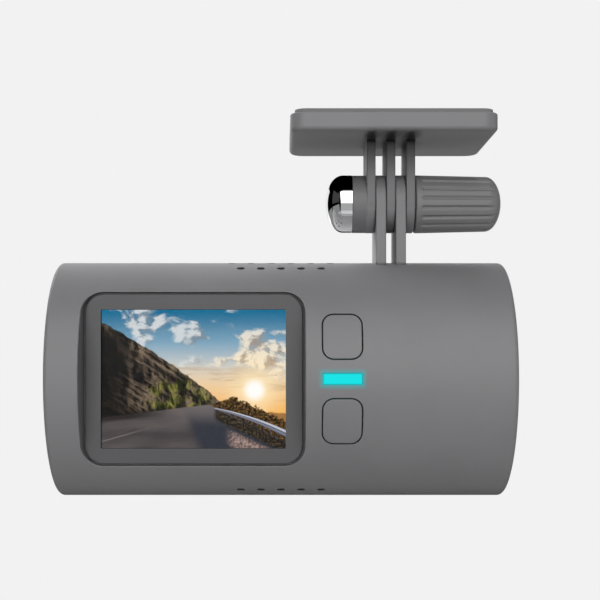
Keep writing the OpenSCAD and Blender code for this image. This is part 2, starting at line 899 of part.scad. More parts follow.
module lens_ring() {
    color([0.25, 0.25, 0.27]) in_lens() difference() {
        rod_y(barrel_front_y, barrel_front_y + lens_ring_t, barrel_head_r);
        rod_y(barrel_front_y - past, barrel_front_y + lens_ring_t + past, lens_ring_bore_r);
    }
}

module front_lens() {
    color([0.4, 0.5, 0.7, 0.5]) in_lens() intersection() {
        rod_y(front_lens_back_y, front_lens_tip_y + past, front_lens_r);
        translate([0, front_lens_tip_y - front_lens_sphere_r, 0])
            sphere(front_lens_sphere_r, $fn = 200);
    }
}

// Lens element with two convex faces, centred at y
module convex_element(y, r, half_t, curve_r) {
    intersection() {
        rod_y(y - half_t - past, y + half_t + past, r);
        translate([0, y + half_t - curve_r, 0]) sphere(curve_r, $fn = 200);
        translate([0, y - half_t + curve_r, 0]) sphere(curve_r, $fn = 200);
    }
}

module middle_lens() {
    color([0.4, 0.5, 0.7, 0.5]) in_lens() convex_element(middle_lens_y, middle_lens_r, 2, 14);
}

module rear_lens() {
    color([0.4, 0.5, 0.7, 0.5]) in_lens() convex_element(rear_lens_y, rear_lens_r, 1.8, 12);
}

module infrared_filter() {
    color([0.6, 0.3, 0.4, 0.6]) in_lens()
        block([-6, filter_y, -6] * 0.7, [6, filter_y + 0.4, 6] * 0.7);
}

module image_sensor() {
    color(chip_black) in_lens() block([-4.8, sensor_face_y, -4.8], [4.8, sensor_face_y + 1, 4.8]);
}

module sensor_board() {
    color(board_green) in_lens() difference() {
        prism_y(sensor_board_w, sensor_board_w, 1.5, sensor_board_y, sensor_face_y);
        at_posts() rod_y(sensor_board_y - past, sensor_face_y + past, sensor_screw_r + 0.1);
    }
}

module sensor_screws() {
    color(steel_grey) in_lens() at_posts()
        screw_y(sensor_board_y - 1, sensor_face_y + 4.5, 1.5, 1, sensor_screw_r);
}

module sensor_cable() {
    color(copper_orange) in_lens() translate([0, 0, sensor_cable_z])
        block([-sensor_cable_w / 2, board_back_y, -0.15], [sensor_cable_w / 2, sensor_board_y, 0.15]);
}

// ---- Keys and light bar ----

module key_board() {
    color(board_green) in_housing() translate([key_offset, 0, 0]) difference() {
        block([-key_board_left, key_board_y, -key_board_half_h],
            [key_board_right, key_board_back_y, key_board_half_h]);
        for (side = [-1, 1])
            translate([key_post_x - key_offset, 0, side * key_post_z])
                rod_y(key_board_y - past, key_board_back_y + past, key_screw_r + 0.1);
    }
}

module key_board_screws() {
    color(steel_grey) in_housing() for (side = [-1, 1])
        translate([key_post_x, 0, side * key_post_z])
            screw_y(key_board_y - 1, key_board_back_y + 3.5, 1.4, 1, key_screw_r);
}

module key_switches() {
    color(chip_black) in_housing() at_keys() difference() {
        block([-switch_w / 2, switch_face_y, -switch_w / 2], [switch_w / 2, key_board_y, switch_w / 2]);
        rod_y(switch_face_y - past, switch_face_y + plunger_in + plunger_travel, plunger_r + plunger_clear);
    }
}

module status_leds() {
    color([0.9, 0.95, 0.8]) in_housing() translate([key_offset, 0, 0]) for (i = [-1 : 1])
        translate([i * led_pitch, 0, 0])
            block([-led_w / 2, key_board_y - led_t, -0.6], [led_w / 2, key_board_y, 0.6]);
}

module light_guide() {
    color([0, 0.9, 0.95]) in_housing() intersection() {
        rod_x(0, 2 * key_offset, housing_r);
        translate([key_offset, 0, 0])
            block([-key_w / 2, -housing_r - past, -light_h / 2],
                [key_w / 2, key_board_y - led_t - 0.1, light_h / 2]);
    }
}

module key_cable() {
    color(copper_orange) in_housing() translate([key_offset, 0, 0])
        block([-key_cable_w / 2, key_board_back_y, -0.15], [key_cable_w / 2, board_front_y, 0.15]);
}

// Key with an inner flange that keeps it in the housing and a stem that meets its switch
module button(side) {
    color(housing_grey) in_housing() {
        difference() {
            intersection() {
                rod_x(0, 2 * key_offset, housing_r);
                translate([key_offset, 0, side * key_rise])
                    prism_y(key_w, key_h, key_r, -housing_r - past, -inner_r / 2);
            }
            rod_x(-past, 2 * key_offset + past, key_flange_inner_r);
        }
        difference() {
            intersection() {
                rod_x(0, 2 * key_offset, key_flange_outer_r);
                translate([key_offset, 0, side * key_rise])
                    prism_y(key_w + 2 * key_flange, key_h + 2 * key_flange, key_r + key_flange,
                        -housing_r - past, -inner_r / 2);
            }
            rod_x(-past, 2 * key_offset + past, key_flange_inner_r);
        }
        translate([key_offset, 0, side * key_rise])
            rod_y(-key_flange_inner_r + 0.4, switch_face_y - plunger_proud, key_stem_r);
    }
}

// Plunger of a tact switch, which the key's stem rests on
module plunger(side) {
    color([0.8, 0.8, 0.78]) in_housing() translate([key_offset, 0, side * key_rise])
        rod_y(switch_face_y - plunger_proud, switch_face_y + plunger_in, plunger_r);
}

module upper_button() {
    button(1);
}

module lower_button() {
    button(-1);
}

module upper_plunger() {
    plunger(1);
}

module lower_plunger() {
    plunger(-1);
}

mount_plate();
adhesive_pad();
hinge_bolt();
bolt_cap();
clamp_washer();
clamp_knob();
knob_insert();
housing();
left_end_cap();
right_end_cap();
end_cap_screws();
chassis();
display_window();
display_gasket();
lcd_panel();
backlight();
display_retainer();
display_screws();
display_connector();
display_cable();
main_board();
board_screws();
processor();
thermal_pad();
heat_sink();
ram_chip();
flash_chip();
shield_can();
supercapacitors();
microphone();
usb_socket();
card_socket();
memory_card();
speaker();
lens_nose();
nose_screws();
lens_holder();
lens_barrel();
lens_ring();
front_lens();
middle_lens();
rear_lens();
infrared_filter();
image_sensor();
sensor_board();
sensor_screws();
sensor_cable();
key_board();
key_board_screws();
key_switches();
status_leds();
light_guide();
key_cable();
upper_button();
upper_plunger();
lower_button();
lower_plunger();
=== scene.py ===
import math
from functools import partialmethod

import bpy
import numpy as np
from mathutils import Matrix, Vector
from mathutils.geometry import delaunay_2d_cdt


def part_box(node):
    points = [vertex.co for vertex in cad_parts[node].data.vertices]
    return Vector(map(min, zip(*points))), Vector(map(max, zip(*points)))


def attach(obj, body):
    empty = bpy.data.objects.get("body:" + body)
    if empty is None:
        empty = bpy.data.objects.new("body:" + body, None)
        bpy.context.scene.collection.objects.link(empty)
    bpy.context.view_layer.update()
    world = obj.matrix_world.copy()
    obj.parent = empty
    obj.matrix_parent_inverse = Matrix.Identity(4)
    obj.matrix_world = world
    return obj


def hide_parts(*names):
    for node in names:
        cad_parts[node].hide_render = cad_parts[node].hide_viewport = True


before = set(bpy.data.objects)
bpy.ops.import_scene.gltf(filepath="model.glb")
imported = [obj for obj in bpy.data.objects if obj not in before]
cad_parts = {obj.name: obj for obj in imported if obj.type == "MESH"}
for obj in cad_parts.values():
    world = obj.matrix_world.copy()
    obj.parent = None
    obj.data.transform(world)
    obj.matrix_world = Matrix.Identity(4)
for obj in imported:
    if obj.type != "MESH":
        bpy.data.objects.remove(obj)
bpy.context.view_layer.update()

# Looks of the dash camera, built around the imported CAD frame. Everything is in metres, +Z up,
# and the display faces -Y. Places and main sizes come from the frame's boxes.
MM = 0.001


def frame_box(node):
    """Lowest and highest corner of a CAD node as arrays."""
    low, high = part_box(node)
    return np.array(low, float), np.array(high, float)


def middle(node):
    """Centre of a CAD node's box."""
    low, high = frame_box(node)
    return (low + high) / 2


def size(node):
    """Size of a CAD node's box."""
    low, high = frame_box(node)
    return high - low


def rows(*columns):
    """Points from their columns. A column may be one number for all of them."""
    return np.stack(np.broadcast_arrays(*columns), axis=1).astype(float)


# ---- Sizes taken from the frame ----

AXIS = np.array([middle("housing")[0], 0.0, middle("right_end_cap")[2]])
HOUSING_R = size("housing")[1] / 2
HALF_LENGTH = size("housing")[0] / 2
INNER_R = size("right_end_cap")[2] / 2 + 0.1 * MM
HINGE = middle("clamp_washer") * np.array([0, 1, 1])
HINGE_R = size("bolt_cap")[2] / 2
PAD_LOW, PAD_HIGH = frame_box("adhesive_pad")
WINDOW_LOW, WINDOW_HIGH = frame_box("display_window")
WINDOW_MIDDLE = middle("display_window")
KNOB_LOW, KNOB_HIGH = frame_box("clamp_knob")
CAP_LOW, CAP_HIGH = frame_box("bolt_cap")

# ---- Detail sizes ----

END_FILLET = 1.0 * MM
END_LIP = 0.2 * MM
BODY_FIN_T = 2.3 * MM
PLATE_FIN_T = 2.0 * MM
FIN_PITCH = 4.5 * MM
FIN_ROOT = 1.6 * MM
PLATE_T = 4.1 * MM
PLATE_LOW_FACE = PAD_LOW[2] - PLATE_T
PLATE_CORNER_R = 3.5 * MM
WINDOW_GAP = 0.5 * MM
RECESS_CORNER_R = 4.5 * MM
RECESS_RIM = 0.35 * MM
WELL_WALL = 1.6 * MM
WINDOW_STEPS = (12, 18, 30)
KEY_FLANGE = 0.8 * MM
KEY_GAP = 0.25 * MM
KEY_CORNER_R = 2.3 * MM
KEY_BACK = -21.6 * MM
RIM_STEPS = 5
VENT_R = 0.9 * MM
VENT_PITCH = 4.5 * MM
VENT_ANGLE = 12
VENT_LEAN = 10
VENT_RIM = 0.06 * MM
BOLT_HOLE_R = 2.05 * MM
SPIGOT_R = 5.0 * MM
SPIGOT_LENGTH = 1.2 * MM
CAP_STRAIGHT = 2.1 * MM
BOSS_R = HINGE_R - 0.05 * MM
FLUTES = 18
PICTURE_W = 40.3 * MM
PICTURE_H = 30.3 * MM
PICTURE_SHIFT = -0.15 * MM
NOSE_R = 12.5 * MM
NOSE_BORE_R = 10.5 * MM
SEAM_ANGLE = -130
ROUND_STEPS = 216
SKIN_STEP = 2.5 * MM
ALONG_X = np.array([1.0, 0.0, 0.0])
FORWARD = np.array([0.0, -1.0, 0.0])


# ---- Mesh tools ----

def unit(vectors):
    """Vectors scaled to length 1, row by row."""
    vectors = np.asarray(vectors, float)
    return vectors / np.linalg.norm(vectors, axis=-1, keepdims=True)


def put(name, data):
    """New object in the scene."""
    placed = bpy.data.objects.new(name, data)
    bpy.context.scene.collection.objects.link(placed)
    return placed


class Shell:
    """Vertices, faces and the normal at each face's corner, gathered before the mesh is made."""

    def __init__(self):
        self.points = []
        self.faces = []
        self.normals = []

    def add(self, points):
        """Adds points and returns their indices."""
        first = len(self.points)
        self.points.extend(np.asarray(points, float).tolist())
        return np.arange(first, len(self.points))

    def at(self, ring):
        """Points of a ring of indices."""
        return np.array([self.points[i] for i in ring])

    def face(self, corners, normals):
        """Face with a normal at each corner, or one for all of them."""
        self.faces.append([int(c) for c in corners])
        self.normals.append(np.broadcast_to(np.asarray(normals, float), (len(corners), 3)))

    def bridge(self, ring_a, ring_b, normals_a, normals_b=None):
        """Quads between two rings of the same length."""
        ends = (normals_a, normals_a if normals_b is None else normals_b)
        normals_a, normals_b = (np.broadcast_to(normals, (len(ring_a), 3)) for normals in ends)
        for i in range(len(ring_a)):
            j = (i + 1) % len(ring_a)
            self.face([ring_a[i], ring_a[j], ring_b[j], ring_b[i]],
                      [normals_a[i], normals_a[j], normals_b[j], normals_b[i]])

    def strip(self, rings):
        """Bridges a list of (indices, normals) rings, each to the next."""
        for (ring_a, normals_a), (ring_b, normals_b) in zip(rings, rings[1:]):
            self.bridge(ring_a, ring_b, normals_a, normals_b)

    def chain(self, loops, normals):
        """Bridges a list of rings, each to the next, with the normals of each step."""
        for ring_a, ring_b, normal in zip(loops, loops[1:], normals):
            self.bridge(ring_a, ring_b, normal)

    def fan(self, ring, tip, normals, tip_normal):
        """Triangles from a ring to one point."""
        tip = int(tip)
        for i in range(len(ring)):
            j = (i + 1) % len(ring)
            self.face([ring[i], ring[j], tip], [normals[i], normals[j], tip_normal])

    def make(self, name, body, slot, node):
        """The finished object: it rides on the body and stands for the CAD node."""
        points = np.array(self.points)
        faces, normals = [], []
        for corners, corner_normals in zip(self.faces, self.normals):
            spot = points[corners]
            across = np.cross(spot[2] - spot[0], spot[-1] - spot[1])
            if across @ corner_normals.sum(axis=0) < 0:
                corners = corners[::-1]
                corner_normals = corner_normals[::-1]
            faces.append(corners)
            normals.extend(corner_normals.tolist())
        mesh = bpy.data.meshes.new(name)
        mesh.from_pydata(points.tolist(), [], faces)
        mesh.polygons.foreach_set("use_smooth", [True] * len(faces))
        mesh.normals_split_custom_set(normals)
        mesh.update()
        mesh.materials.append(MATERIALS[slot])
        piece = put(name, mesh)
        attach(piece, body)
        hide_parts(node)
        return piece


def rounded_outline(width, height, radius, corner_steps, wide_steps, high_steps):
    """Points round a round-cornered rectangle, anticlockwise, with the outward direction at each."""
    points, outward = [], []
    corners = [(1, 1, 0), (-1, 1, 90), (-1, -1, 180), (1, -1, 270)]
    for index, (sx, sy, start) in enumerate(corners):
        centre = np.array([sx * (width / 2 - radius), sy * (height / 2 - radius)])
        for step in range(corner_steps + 1):
            angle = math.radians(start + 90 * step / corner_steps)
            direction = np.array([math.cos(angle), math.sin(angle)])
            points.append(centre + radius * direction)
            outward.append(direction)
        direction = outward[-1]
        along = np.array([-direction[1], direction[0]])
        steps = wide_steps if index in (0, 2) else high_steps
        span = (width if index in (0, 2) else height) - 2 * radius
        for step in range(1, steps):
            points.append(points[-1] + along * span / steps)
            outward.append(direction)
    return np.array(points), np.array(outward)


def circle_outline(radius, steps):
    """Points round a circle with the outward direction at each."""
    angle = np.linspace(0, 2 * math.pi, steps, endpoint=False)
    outward = np.stack([np.cos(angle), np.sin(angle)], axis=1)
    return outward * radius, outward


def inside(points, loop):
    """Which 2-D points lie inside a closed loop."""
    low, high = loop.min(axis=0), loop.max(axis=0)
    result = np.zeros(len(points), bool)
    near = np.where(((points >= low) & (points <= high)).all(axis=1))[0]
    x, y = points[near, 0], points[near, 1]
    crossings = np.zeros(len(near), int)
    for a, b in zip(loop, np.roll(loop, -1, axis=0)):
        if a[1] == b[1]:
            continue
        spans = (a[1] > y) != (b[1] > y)
        crossings += spans & (x < (b[0] - a[0]) * (y - a[1]) / (b[1] - a[1]) + a[0])
    result[near] = crossings % 2 == 1
    return result


def fill(boundary, holes, grid, margin):
    """Triangulates a flat region. Returns its points, boundary and holes first, and its triangles."""
    loops = [boundary] + holes
    fixed = np.concatenate(loops)
    keep = np.ones(len(grid), bool)
    for hole in holes:
        centre = (hole.min(axis=0) + hole.max(axis=0)) / 2
        away = hole - centre
        grown = hole + margin * away / np.linalg.norm(away, axis=1, keepdims=True)
        keep &= ~inside(grid, grown)
    points = np.concatenate([fixed, grid[keep]])
    edges, first = [], 0
    for loop in loops:
        edges += [(first + i, first + (i + 1) % len(loop)) for i in range(len(loop))]
        first += len(loop)
    _, _, triangles, origin, _, _ = delaunay_2d_cdt([tuple(p) for p in points], edges, [], 0, 1e-9)
    back = np.array([o[0] for o in origin])
    triangles = back[np.array(triangles)]
    centroids = points[triangles].mean(axis=1)
    good = np.ones(len(triangles), bool)
    for hole in holes:
        good &= ~inside(centroids, hole)
    corner = points[triangles]
    area = np.cross(corner[:, 1] - corner[:, 0], corner[:, 2] - corner[:, 0])
    return points, triangles[good & (np.abs(area) > 1e-14)]


def rounded_rings(shell, path, turn, steps):
    """Rings of a rounded edge. path is its start, corner and end, turn its first and last normals."""
    start, corner, end = path
    rings = []
    for k in range(steps + 1):
        s = k / steps
        points = (1 - s) ** 2 * start + 2 * s * (1 - s) * corner + s * s * end
        rings.append((shell.add(points), unit((1 - s) * turn[0] + s * turn[1])))
    return rings


# ---- Cylinder surface of the housing, about its axis ----

def around(angle):
    """Directions away from the axis and along the surface, at an angle up from the driver's side."""
    a = math.radians(angle)
    return np.array([0, -math.cos(a), math.sin(a)]), np.array([0, math.sin(a), math.cos(a)])


def on_cylinder(flat, angle, radius):
    """Points above flat (x, v) coordinates of a plane square to the given angle, on the cylinder."""
    away, along = around(angle)
    x, v = flat[:, 0], flat[:, 1]
    depth = np.sqrt(radius ** 2 - v ** 2)
    return AXIS + x[:, None] * ALONG_X + v[:, None] * along + depth[:, None] * away


def cylinder_normals(points):
    """Outward normals of the cylinder at its points."""
    return unit((points - AXIS) * np.array([0, 1, 1]))


def unrolled(points, radius):
    """(x, arc) coordinates of points on the cylinder, with the seam at SEAM_ANGLE."""
    rel = points - AXIS
    angle = np.degrees(np.arctan2(rel[:, 2], -rel[:, 1]))
    angle = np.where(angle < SEAM_ANGLE, angle + 360, angle)
    return rows(rel[:, 0], np.radians(angle) * radius)


def rolled(flat, radius):
    """Points on the cylinder from (x, arc) coordinates."""
    angle = flat[:, 1] / radius
    return AXIS + rows(flat[:, 0], -radius * np.cos(angle), radius * np.sin(angle))


class Hole:
    """Opening through the housing's wall: an outline swept straight in, with a rounded rim."""

    def __init__(self, outline, outward, centre_x, angle, rim, shift=0.0):
        self.flat = outline + np.array([centre_x, shift])
        self.outward = outward
        self.angle = angle
        self.rim = rim

    def edge_rings(self, shell, steps):
        """Rings of the rim from the skin down to the wall, and the wall's normals."""
        away, along = around(self.angle)
        edge = on_cylinder(self.flat, self.angle, HOUSING_R)
        normal = cylinder_normals(edge)
        out3 = self.outward[:, :1] * ALONG_X + self.outward[:, 1:] * along
        tangent = unit(out3 - (out3 * normal).sum(axis=1, keepdims=True) * normal)
        start = edge + self.rim * tangent
        rel = (start - AXIS) * np.array([0, 1, 1])
        start = start + (HOUSING_R / np.linalg.norm(rel, axis=1, keepdims=True) - 1) * rel
        end = edge - self.rim * away
        return rounded_rings(shell, (start, edge, end), (cylinder_normals(start), -out3), steps), -out3

    def at_radius(self, radius):
        """The outline where it meets a cylinder about the housing's axis."""
        return on_cylinder(self.flat, self.angle, radius)

    def at_depth(self, flat, distance):
        """Points of an outline on the plane square to the hole's axis, at a distance from the housing's."""
        away, along = around(self.angle)
        return AXIS + flat[:, :1] * ALONG_X + flat[:, 1:] * along + distance * away


def skin(shell, radius, ends, holes, sign):
    """Fills the cylinder between its two end rings round the holes, as triangles."""
    left, right = ends
    half = abs(shell.at(right)[0, 0] - AXIS[0])
    seam, lap = np.radians(SEAM_ANGLE) * radius, 2 * math.pi * radius
    arcs = seam + lap * np.arange(ROUND_STEPS + 1) / ROUND_STEPS
    columns = np.linspace(-half, half, int(2 * half / SKIN_STEP) + 1)[1:-1]
    boundary = np.concatenate([rows(-half, arcs)[::-1], rows(columns, arcs[0]),
                               rows(half, arcs), rows(columns, arcs[-1])[::-1]])
    grid_x, grid_s = np.meshgrid(columns, arcs[1:-1], indexing="ij")
    hole_loops = [unrolled(shell.at(ring), radius) for ring in holes]
    points, triangles = fill(boundary, hole_loops, rows(grid_x.ravel(), grid_s.ravel()), 0.3 * MM)
    seam_ring = shell.add(rolled(rows(columns, arcs[0]), radius))
    fixed = [np.append(left, left[0])[::-1], seam_ring, np.append(right, right[0]), seam_ring[::-1], *holes]
    fixed = np.concatenate(fixed)
    index = np.concatenate([fixed, shell.add(rolled(points[len(fixed):], radius))])
    normals = sign * cylinder_normals(shell.at(index))
    for t in triangles:
        shell.face(index[t], normals[t])


def end_rings(shell, sign, radius, fillet, way, steps):
    """Rings of an end's rounded edge, from the wall to the flat rim. way is 1 outside and -1 inside."""
    arcs = np.radians(SEAM_ANGLE) + 2 * math.pi * np.arange(ROUND_STEPS) / ROUND_STEPS
    rings = []
    for k in range(steps + 1):
        angle = math.radians(90 * k / steps)
        x = sign * (HALF_LENGTH - fillet * (1 - math.sin(angle)))
        r = radius - way * fillet * (1 - math.cos(angle))
        ring = shell.add(AXIS + rows(x, -r * np.cos(arcs), r * np.sin(arcs)))
        radial = cylinder_normals(shell.at(ring))
        rings.append((ring, unit(way * math.cos(angle) * radial + math.sin(angle) * sign * ALONG_X)))
    return rings


# ---- Rounded solids ----

def prism(shell, outline, outward, place, low, high, fillets, hole_r=None, steps=5):
    """Solid swept from low to high with rounded end edges. place(flat, height) gives 3-D points."""
    origin = place(np.zeros((1, 2)), 0.0)[0]
    up = place(np.zeros((1, 2)), 1.0)[0] - origin
    side = place(outward, 0.0) - origin
    rings = []
    for end, sign, fillet in ((low, -1, fillets[0]), (high, 1, fillets[1])):
        end_rings = []
        for k in range(steps + 1):
            angle = math.radians(90 * k / steps)
            flat = outline - outward * fillet * (1 - math.sin(angle))
            height = end - sign * fillet * (1 - math.cos(angle))
            normals = unit(math.sin(angle) * side + math.cos(angle) * sign * up)
            end_rings.append((shell.add(place(flat, height)), normals))
        rings += end_rings if sign < 0 else end_rings[::-1]
    shell.strip(rings)
    if hole_r is None:
        shell.face(rings[0][0], -up)
        shell.face(rings[-1][0], up)
        return
    direction = unit(outline)
    inward = -(place(direction, 0.0) - origin)
    bottom, top = (shell.add(place(hole_r * direction, end)) for end in (low, high))
    shell.chain([rings[0][0], bottom, top, rings[-1][0]], (-up, inward, up))


def arc_points(centre, radius, start, end, steps):
    """Points along an arc in a profile's (x, r) plane."""
    angles = np.radians(np.linspace(start, end, steps + 1))
    return [(centre[0] + radius * math.cos(a), centre[1] + radius * math.sin(a)) for a in angles]


def ellipse_points(x0, reach, radius, steps):
    """Quarter ellipse from radius at x0 to the axis at x0 + reach."""
    angles = np.linspace(0, math.pi / 2, steps + 1)
    return [(x0 + reach * math.sin(a), radius * math.cos(a)) for a in angles]


def lathe(shell, profile, centre, axis, side, steps=96):
    """Turned solid. profile is a list of (distance along axis, radius) from outside to inside."""
    axis, side = np.asarray(axis, float), np.asarray(side, float)
    up = np.cross(axis, side)
    profile = np.array(profile, float)
    segments = np.diff(profile, axis=0)
    lengths = np.linalg.norm(segments, axis=1)
    outward = np.stack([-segments[:, 1], segments[:, 0]], axis=1) / lengths[:, None]
    angles = np.linspace(0, 2 * math.pi, steps, endpoint=False)
    spokes = np.cos(angles)[:, None] * side + np.sin(angles)[:, None] * up
    rings = []
    for distance, radius in profile:
        if radius < 1e-9:
            rings.append(shell.add([centre + distance * axis]))
            continue
        rings.append(shell.add(centre + distance * axis + radius * spokes))

    def corner_normal(i, at):
        """Profile normal of segment i at its end point: shared where the profile is smooth."""
        other = i - 1 if at == 0 else i + 1
        total = outward[i] * lengths[i]
        if 0 <= other < len(segments) and outward[i] @ outward[other] > 0.8:
            total = total + outward[other] * lengths[other]
        total = total / np.linalg.norm(total)
        return total[0] * axis + total[1] * spokes

    for i in range(len(segments)):
        ring_a, ring_b = rings[i], rings[i + 1]
        normals_a, normals_b = corner_normal(i, 0), corner_normal(i, 1)
        if len(ring_a) == 1:
            shell.fan(ring_b, ring_a[0], normals_b, normals_a.mean(axis=0))
        elif len(ring_b) == 1:
            shell.fan(ring_a, ring_b[0], normals_a, normals_b.mean(axis=0))
        else:
            shell.bridge(ring_a, ring_b, normals_a, normals_b)


# ---- Housing ----

def recess(shell):
    """Display recess: rim, wall, ledge, opening and the well's back. Returns its outer and inner ring."""
    width, height = size("display_window")[[0, 2]] + 2 * WINDOW_GAP
    outline, outward = rounded_outline(width, height, RECESS_CORNER_R, *WINDOW_STEPS)
    hole = Hole(outline, outward, WINDOW_MIDDLE[0] - AXIS[0], 0, RECESS_RIM)
    rings, wall = hole.edge_rings(shell, 6)
    ledge, back = -frame_box("display_gasket")[1][1], -frame_box("backlight")[1][1]
    panel = size("lcd_panel") + 0.2 * MM
    opening, _ = rounded_outline(panel[0], panel[2], 0.5 * MM, *WINDOW_STEPS)
    opening = opening + hole.flat.mean(axis=0)
    well, _ = rounded_outline(width + 2 * WELL_WALL, height + 2 * WELL_WALL, RECESS_CORNER_R + WELL_WALL,
                              *WINDOW_STEPS)
    well_hole = Hole(well, outward, WINDOW_MIDDLE[0] - AXIS[0], 0, 0)
    places = [(hole.flat, ledge), (opening, ledge), (opening, back), (well_hole.flat, back)]
    loops = [rings[-1][0]] + [shell.add(hole.at_depth(flat, depth)) for flat, depth in places]
    loops.append(shell.add(well_hole.at_radius(INNER_R)))
    shell.strip(rings)
    shell.chain(loops, (wall, FORWARD, wall, -FORWARD, -wall))
    return rings[0][0], loops[-1]


def key_face(node):
    """Centre of a key from the axis, and the width and height of what shows in the housing's skin."""
    width, height = size(node)[[0, 2]] - 2 * KEY_FLANGE
    return middle(node) - AXIS, width, height


def openings():
    """Holes that go straight through the housing's wall: keys, light bar, vents and lens nose."""
    holes = []
    for node in ("upper_button", "lower_button"):
        centre, width, height = key_face(node)
        width, height = width + 2 * KEY_GAP, height + 2 * KEY_GAP
        outline = rounded_outline(width, height, KEY_CORNER_R + KEY_GAP, 8, 5, 12)
        holes.append(Hole(*outline, centre[0], 0, 0.12 * MM, centre[2]))
    centre, (width, _, height) = middle("light_guide") - AXIS, size("light_guide") + 0.1 * MM
    outline = rounded_outline(width, height, 0.15 * MM, 3, 8, 5)
    holes.append(Hole(*outline, centre[0], 0, 0.1 * MM, centre[2]))
    for side in (90 - VENT_LEAN, VENT_LEAN - 90):
        for row in (-1, 0, 1):
            count = 6 if row == 0 else 5
            for i in range(count):
                x = (i - (count - 1) / 2) * VENT_PITCH
                holes.append(Hole(*circle_outline(VENT_R, 32), x, side + row * VENT_ANGLE, VENT_RIM))
    nose_x = middle("lens_nose")[0] - AXIS[0]
    holes.append(Hole(*circle_outline(NOSE_R + 0.05 * MM, 96), nose_x, 180, 0.15 * MM))
    return holes


def build_housing():
    """Tube with its openings, rounded ends, and two hinge fins on the top."""
    shell = Shell()
    mouths = [recess(shell)]
    for hole in openings():
        rings, wall = hole.edge_rings(shell, 4)
        shell.strip(rings)
        bottom = shell.add(hole.at_radius(INNER_R))
        shell.bridge(rings[-1][0], bottom, wall)
        mouths.append((rings[0][0], bottom))
    ends = []
    for sign in (-1, 1):
        rings = end_rings(shell, sign, HOUSING_R, END_FILLET, 1, 8)
        rings += end_rings(shell, sign, INNER_R, END_LIP, -1, 4)[::-1]
        shell.strip(rings)
        ends.append((rings[0][0], rings[-1][0]))
    outer_ends, inner_ends = zip(*ends)
    outer_mouths, inner_mouths = zip(*mouths)
    skin(shell, HOUSING_R, outer_ends, outer_mouths, 1)
    skin(shell, INNER_R, inner_ends, inner_mouths, -1)
    for side in (-1, 1):
        length = HINGE[2] - (AXIS[2] + HOUSING_R) + FIN_ROOT
        fin(shell, HINGE[0] + side * FIN_PITCH / 2, BODY_FIN_T, -length)
    shell.make("housing_shell", "camera", "housing_plastic", "housing")


def fin(shell, x, thickness, reach):
    """Hinge fin with a round end about the hinge's axis; reach is up or, if negative, down."""
    turn, length = (1 if reach > 0 else -1), abs(reach)
    angles = np.radians(np.linspace(180, 360, 49))
    part = np.linspace(0, 1, 11)
    round_end = rows(np.cos(angles), np.sin(angles))
    sides = [(HINGE_R * round_end, round_end),
             (rows(HINGE_R, length * part[1:]), (1, 0)),
             (rows(HINGE_R * (1 - 2 * part[1:]), length), (0, 1)),
             (rows(-HINGE_R, length * (1 - part[1:-1])), (-1, 0))]
    flat = np.concatenate([points for points, _ in sides]) * (1, turn)
    outward = np.concatenate([np.broadcast_to(way, points.shape) for points, way in sides]) * (1, turn)

    def place(points2, height):
        return HINGE + rows(height, points2[:, 0], points2[:, 1])

    prism(shell, flat, outward, place, x - HINGE[0] - thickness / 2, x - HINGE[0] + thickness / 2,
          (0.25 * MM, 0.25 * MM), BOLT_HOLE_R)


# ---- Windscreen plate and clamp ----

def level(points2, height):
    """Places a flat outline at a height."""
    return rows(points2[:, 0], points2[:, 1], height)


def build_mount():
    """Plate with its three fins, and the round boss beside the left one."""
    shell = Shell()
    width, depth, _ = size("mount_plate")
    outline, outward = rounded_outline(width, depth, PLATE_CORNER_R, 12, 2, 2)
    prism(shell, outline, outward, level, PLATE_LOW_FACE, PAD_LOW[2], (1.0 * MM, 0.35 * MM), steps=8)
    for i in (-1, 0, 1):
        fin(shell, HINGE[0] + i * FIN_PITCH, PLATE_FIN_T, PLATE_LOW_FACE - HINGE[2] + 0.5 * MM)
    root = 0.3 * MM - FIN_PITCH - PLATE_FIN_T / 2
    boss_end = CAP_HIGH[0] - SPIGOT_LENGTH
    edge = 0.12 * MM
    profile = [(root, 0), (root, BOSS_R)]
    profile += arc_points((boss_end + edge, BOSS_R - edge), edge, 90, 180, 4)
    profile += [(boss_end, SPIGOT_R), (CAP_HIGH[0], SPIGOT_R), (CAP_HIGH[0], 0)]
    lathe(shell, profile[::-1], HINGE, (1, 0, 0), (0, 1, 0))
    shell.make("plate_shell", "mount", "plate_plastic", "mount_plate")


def build_pad():
    shell = Shell()
    width, depth, _ = size("adhesive_pad")
    outline, outward = rounded_outline(width, depth, 2.5 * MM, 10, 2, 2)
    prism(shell, outline, outward, level, PAD_LOW[2], PAD_HIGH[2], (0.05 * MM, 0.12 * MM), steps=3)
    shell.make("pad_shell", "mount", "pad_foam", "adhesive_pad")


def build_bolt_cap():
    """Domed cap: a straight rim, an elliptical dome, and a hollow spigot that plugs into the boss."""
    shell = Shell()
    face = CAP_HIGH[0] - SPIGOT_LENGTH
    dome_start = face - CAP_STRAIGHT
    edge, hollow_r = 0.15 * MM, SPIGOT_R - 0.7 * MM
    spigot_end = CAP_HIGH[0] - 0.05 * MM
    dome = ellipse_points(-dome_start, dome_start - CAP_LOW[0], HINGE_R, 28)
    profile = [(-x, r) for x, r in dome][::-1]
    profile += arc_points((face - edge, HINGE_R - edge), edge, 90, 0, 4)
    profile += [(face, SPIGOT_R), (spigot_end, SPIGOT_R), (spigot_end, hollow_r), (dome_start, hollow_r),
                (dome_start, 0)]
    lathe(shell, profile, HINGE, (1, 0, 0), (0, 1, 0), steps=128)
    shell.make("bolt_cap_shell", "mount", "cap_chrome", "bolt_cap")


def smooth(values):
    """Smooth rise from 0 at 0 to 1 at 1."""
    part = np.clip(values, 0, 1)
    return part * part * (3 - 2 * part)


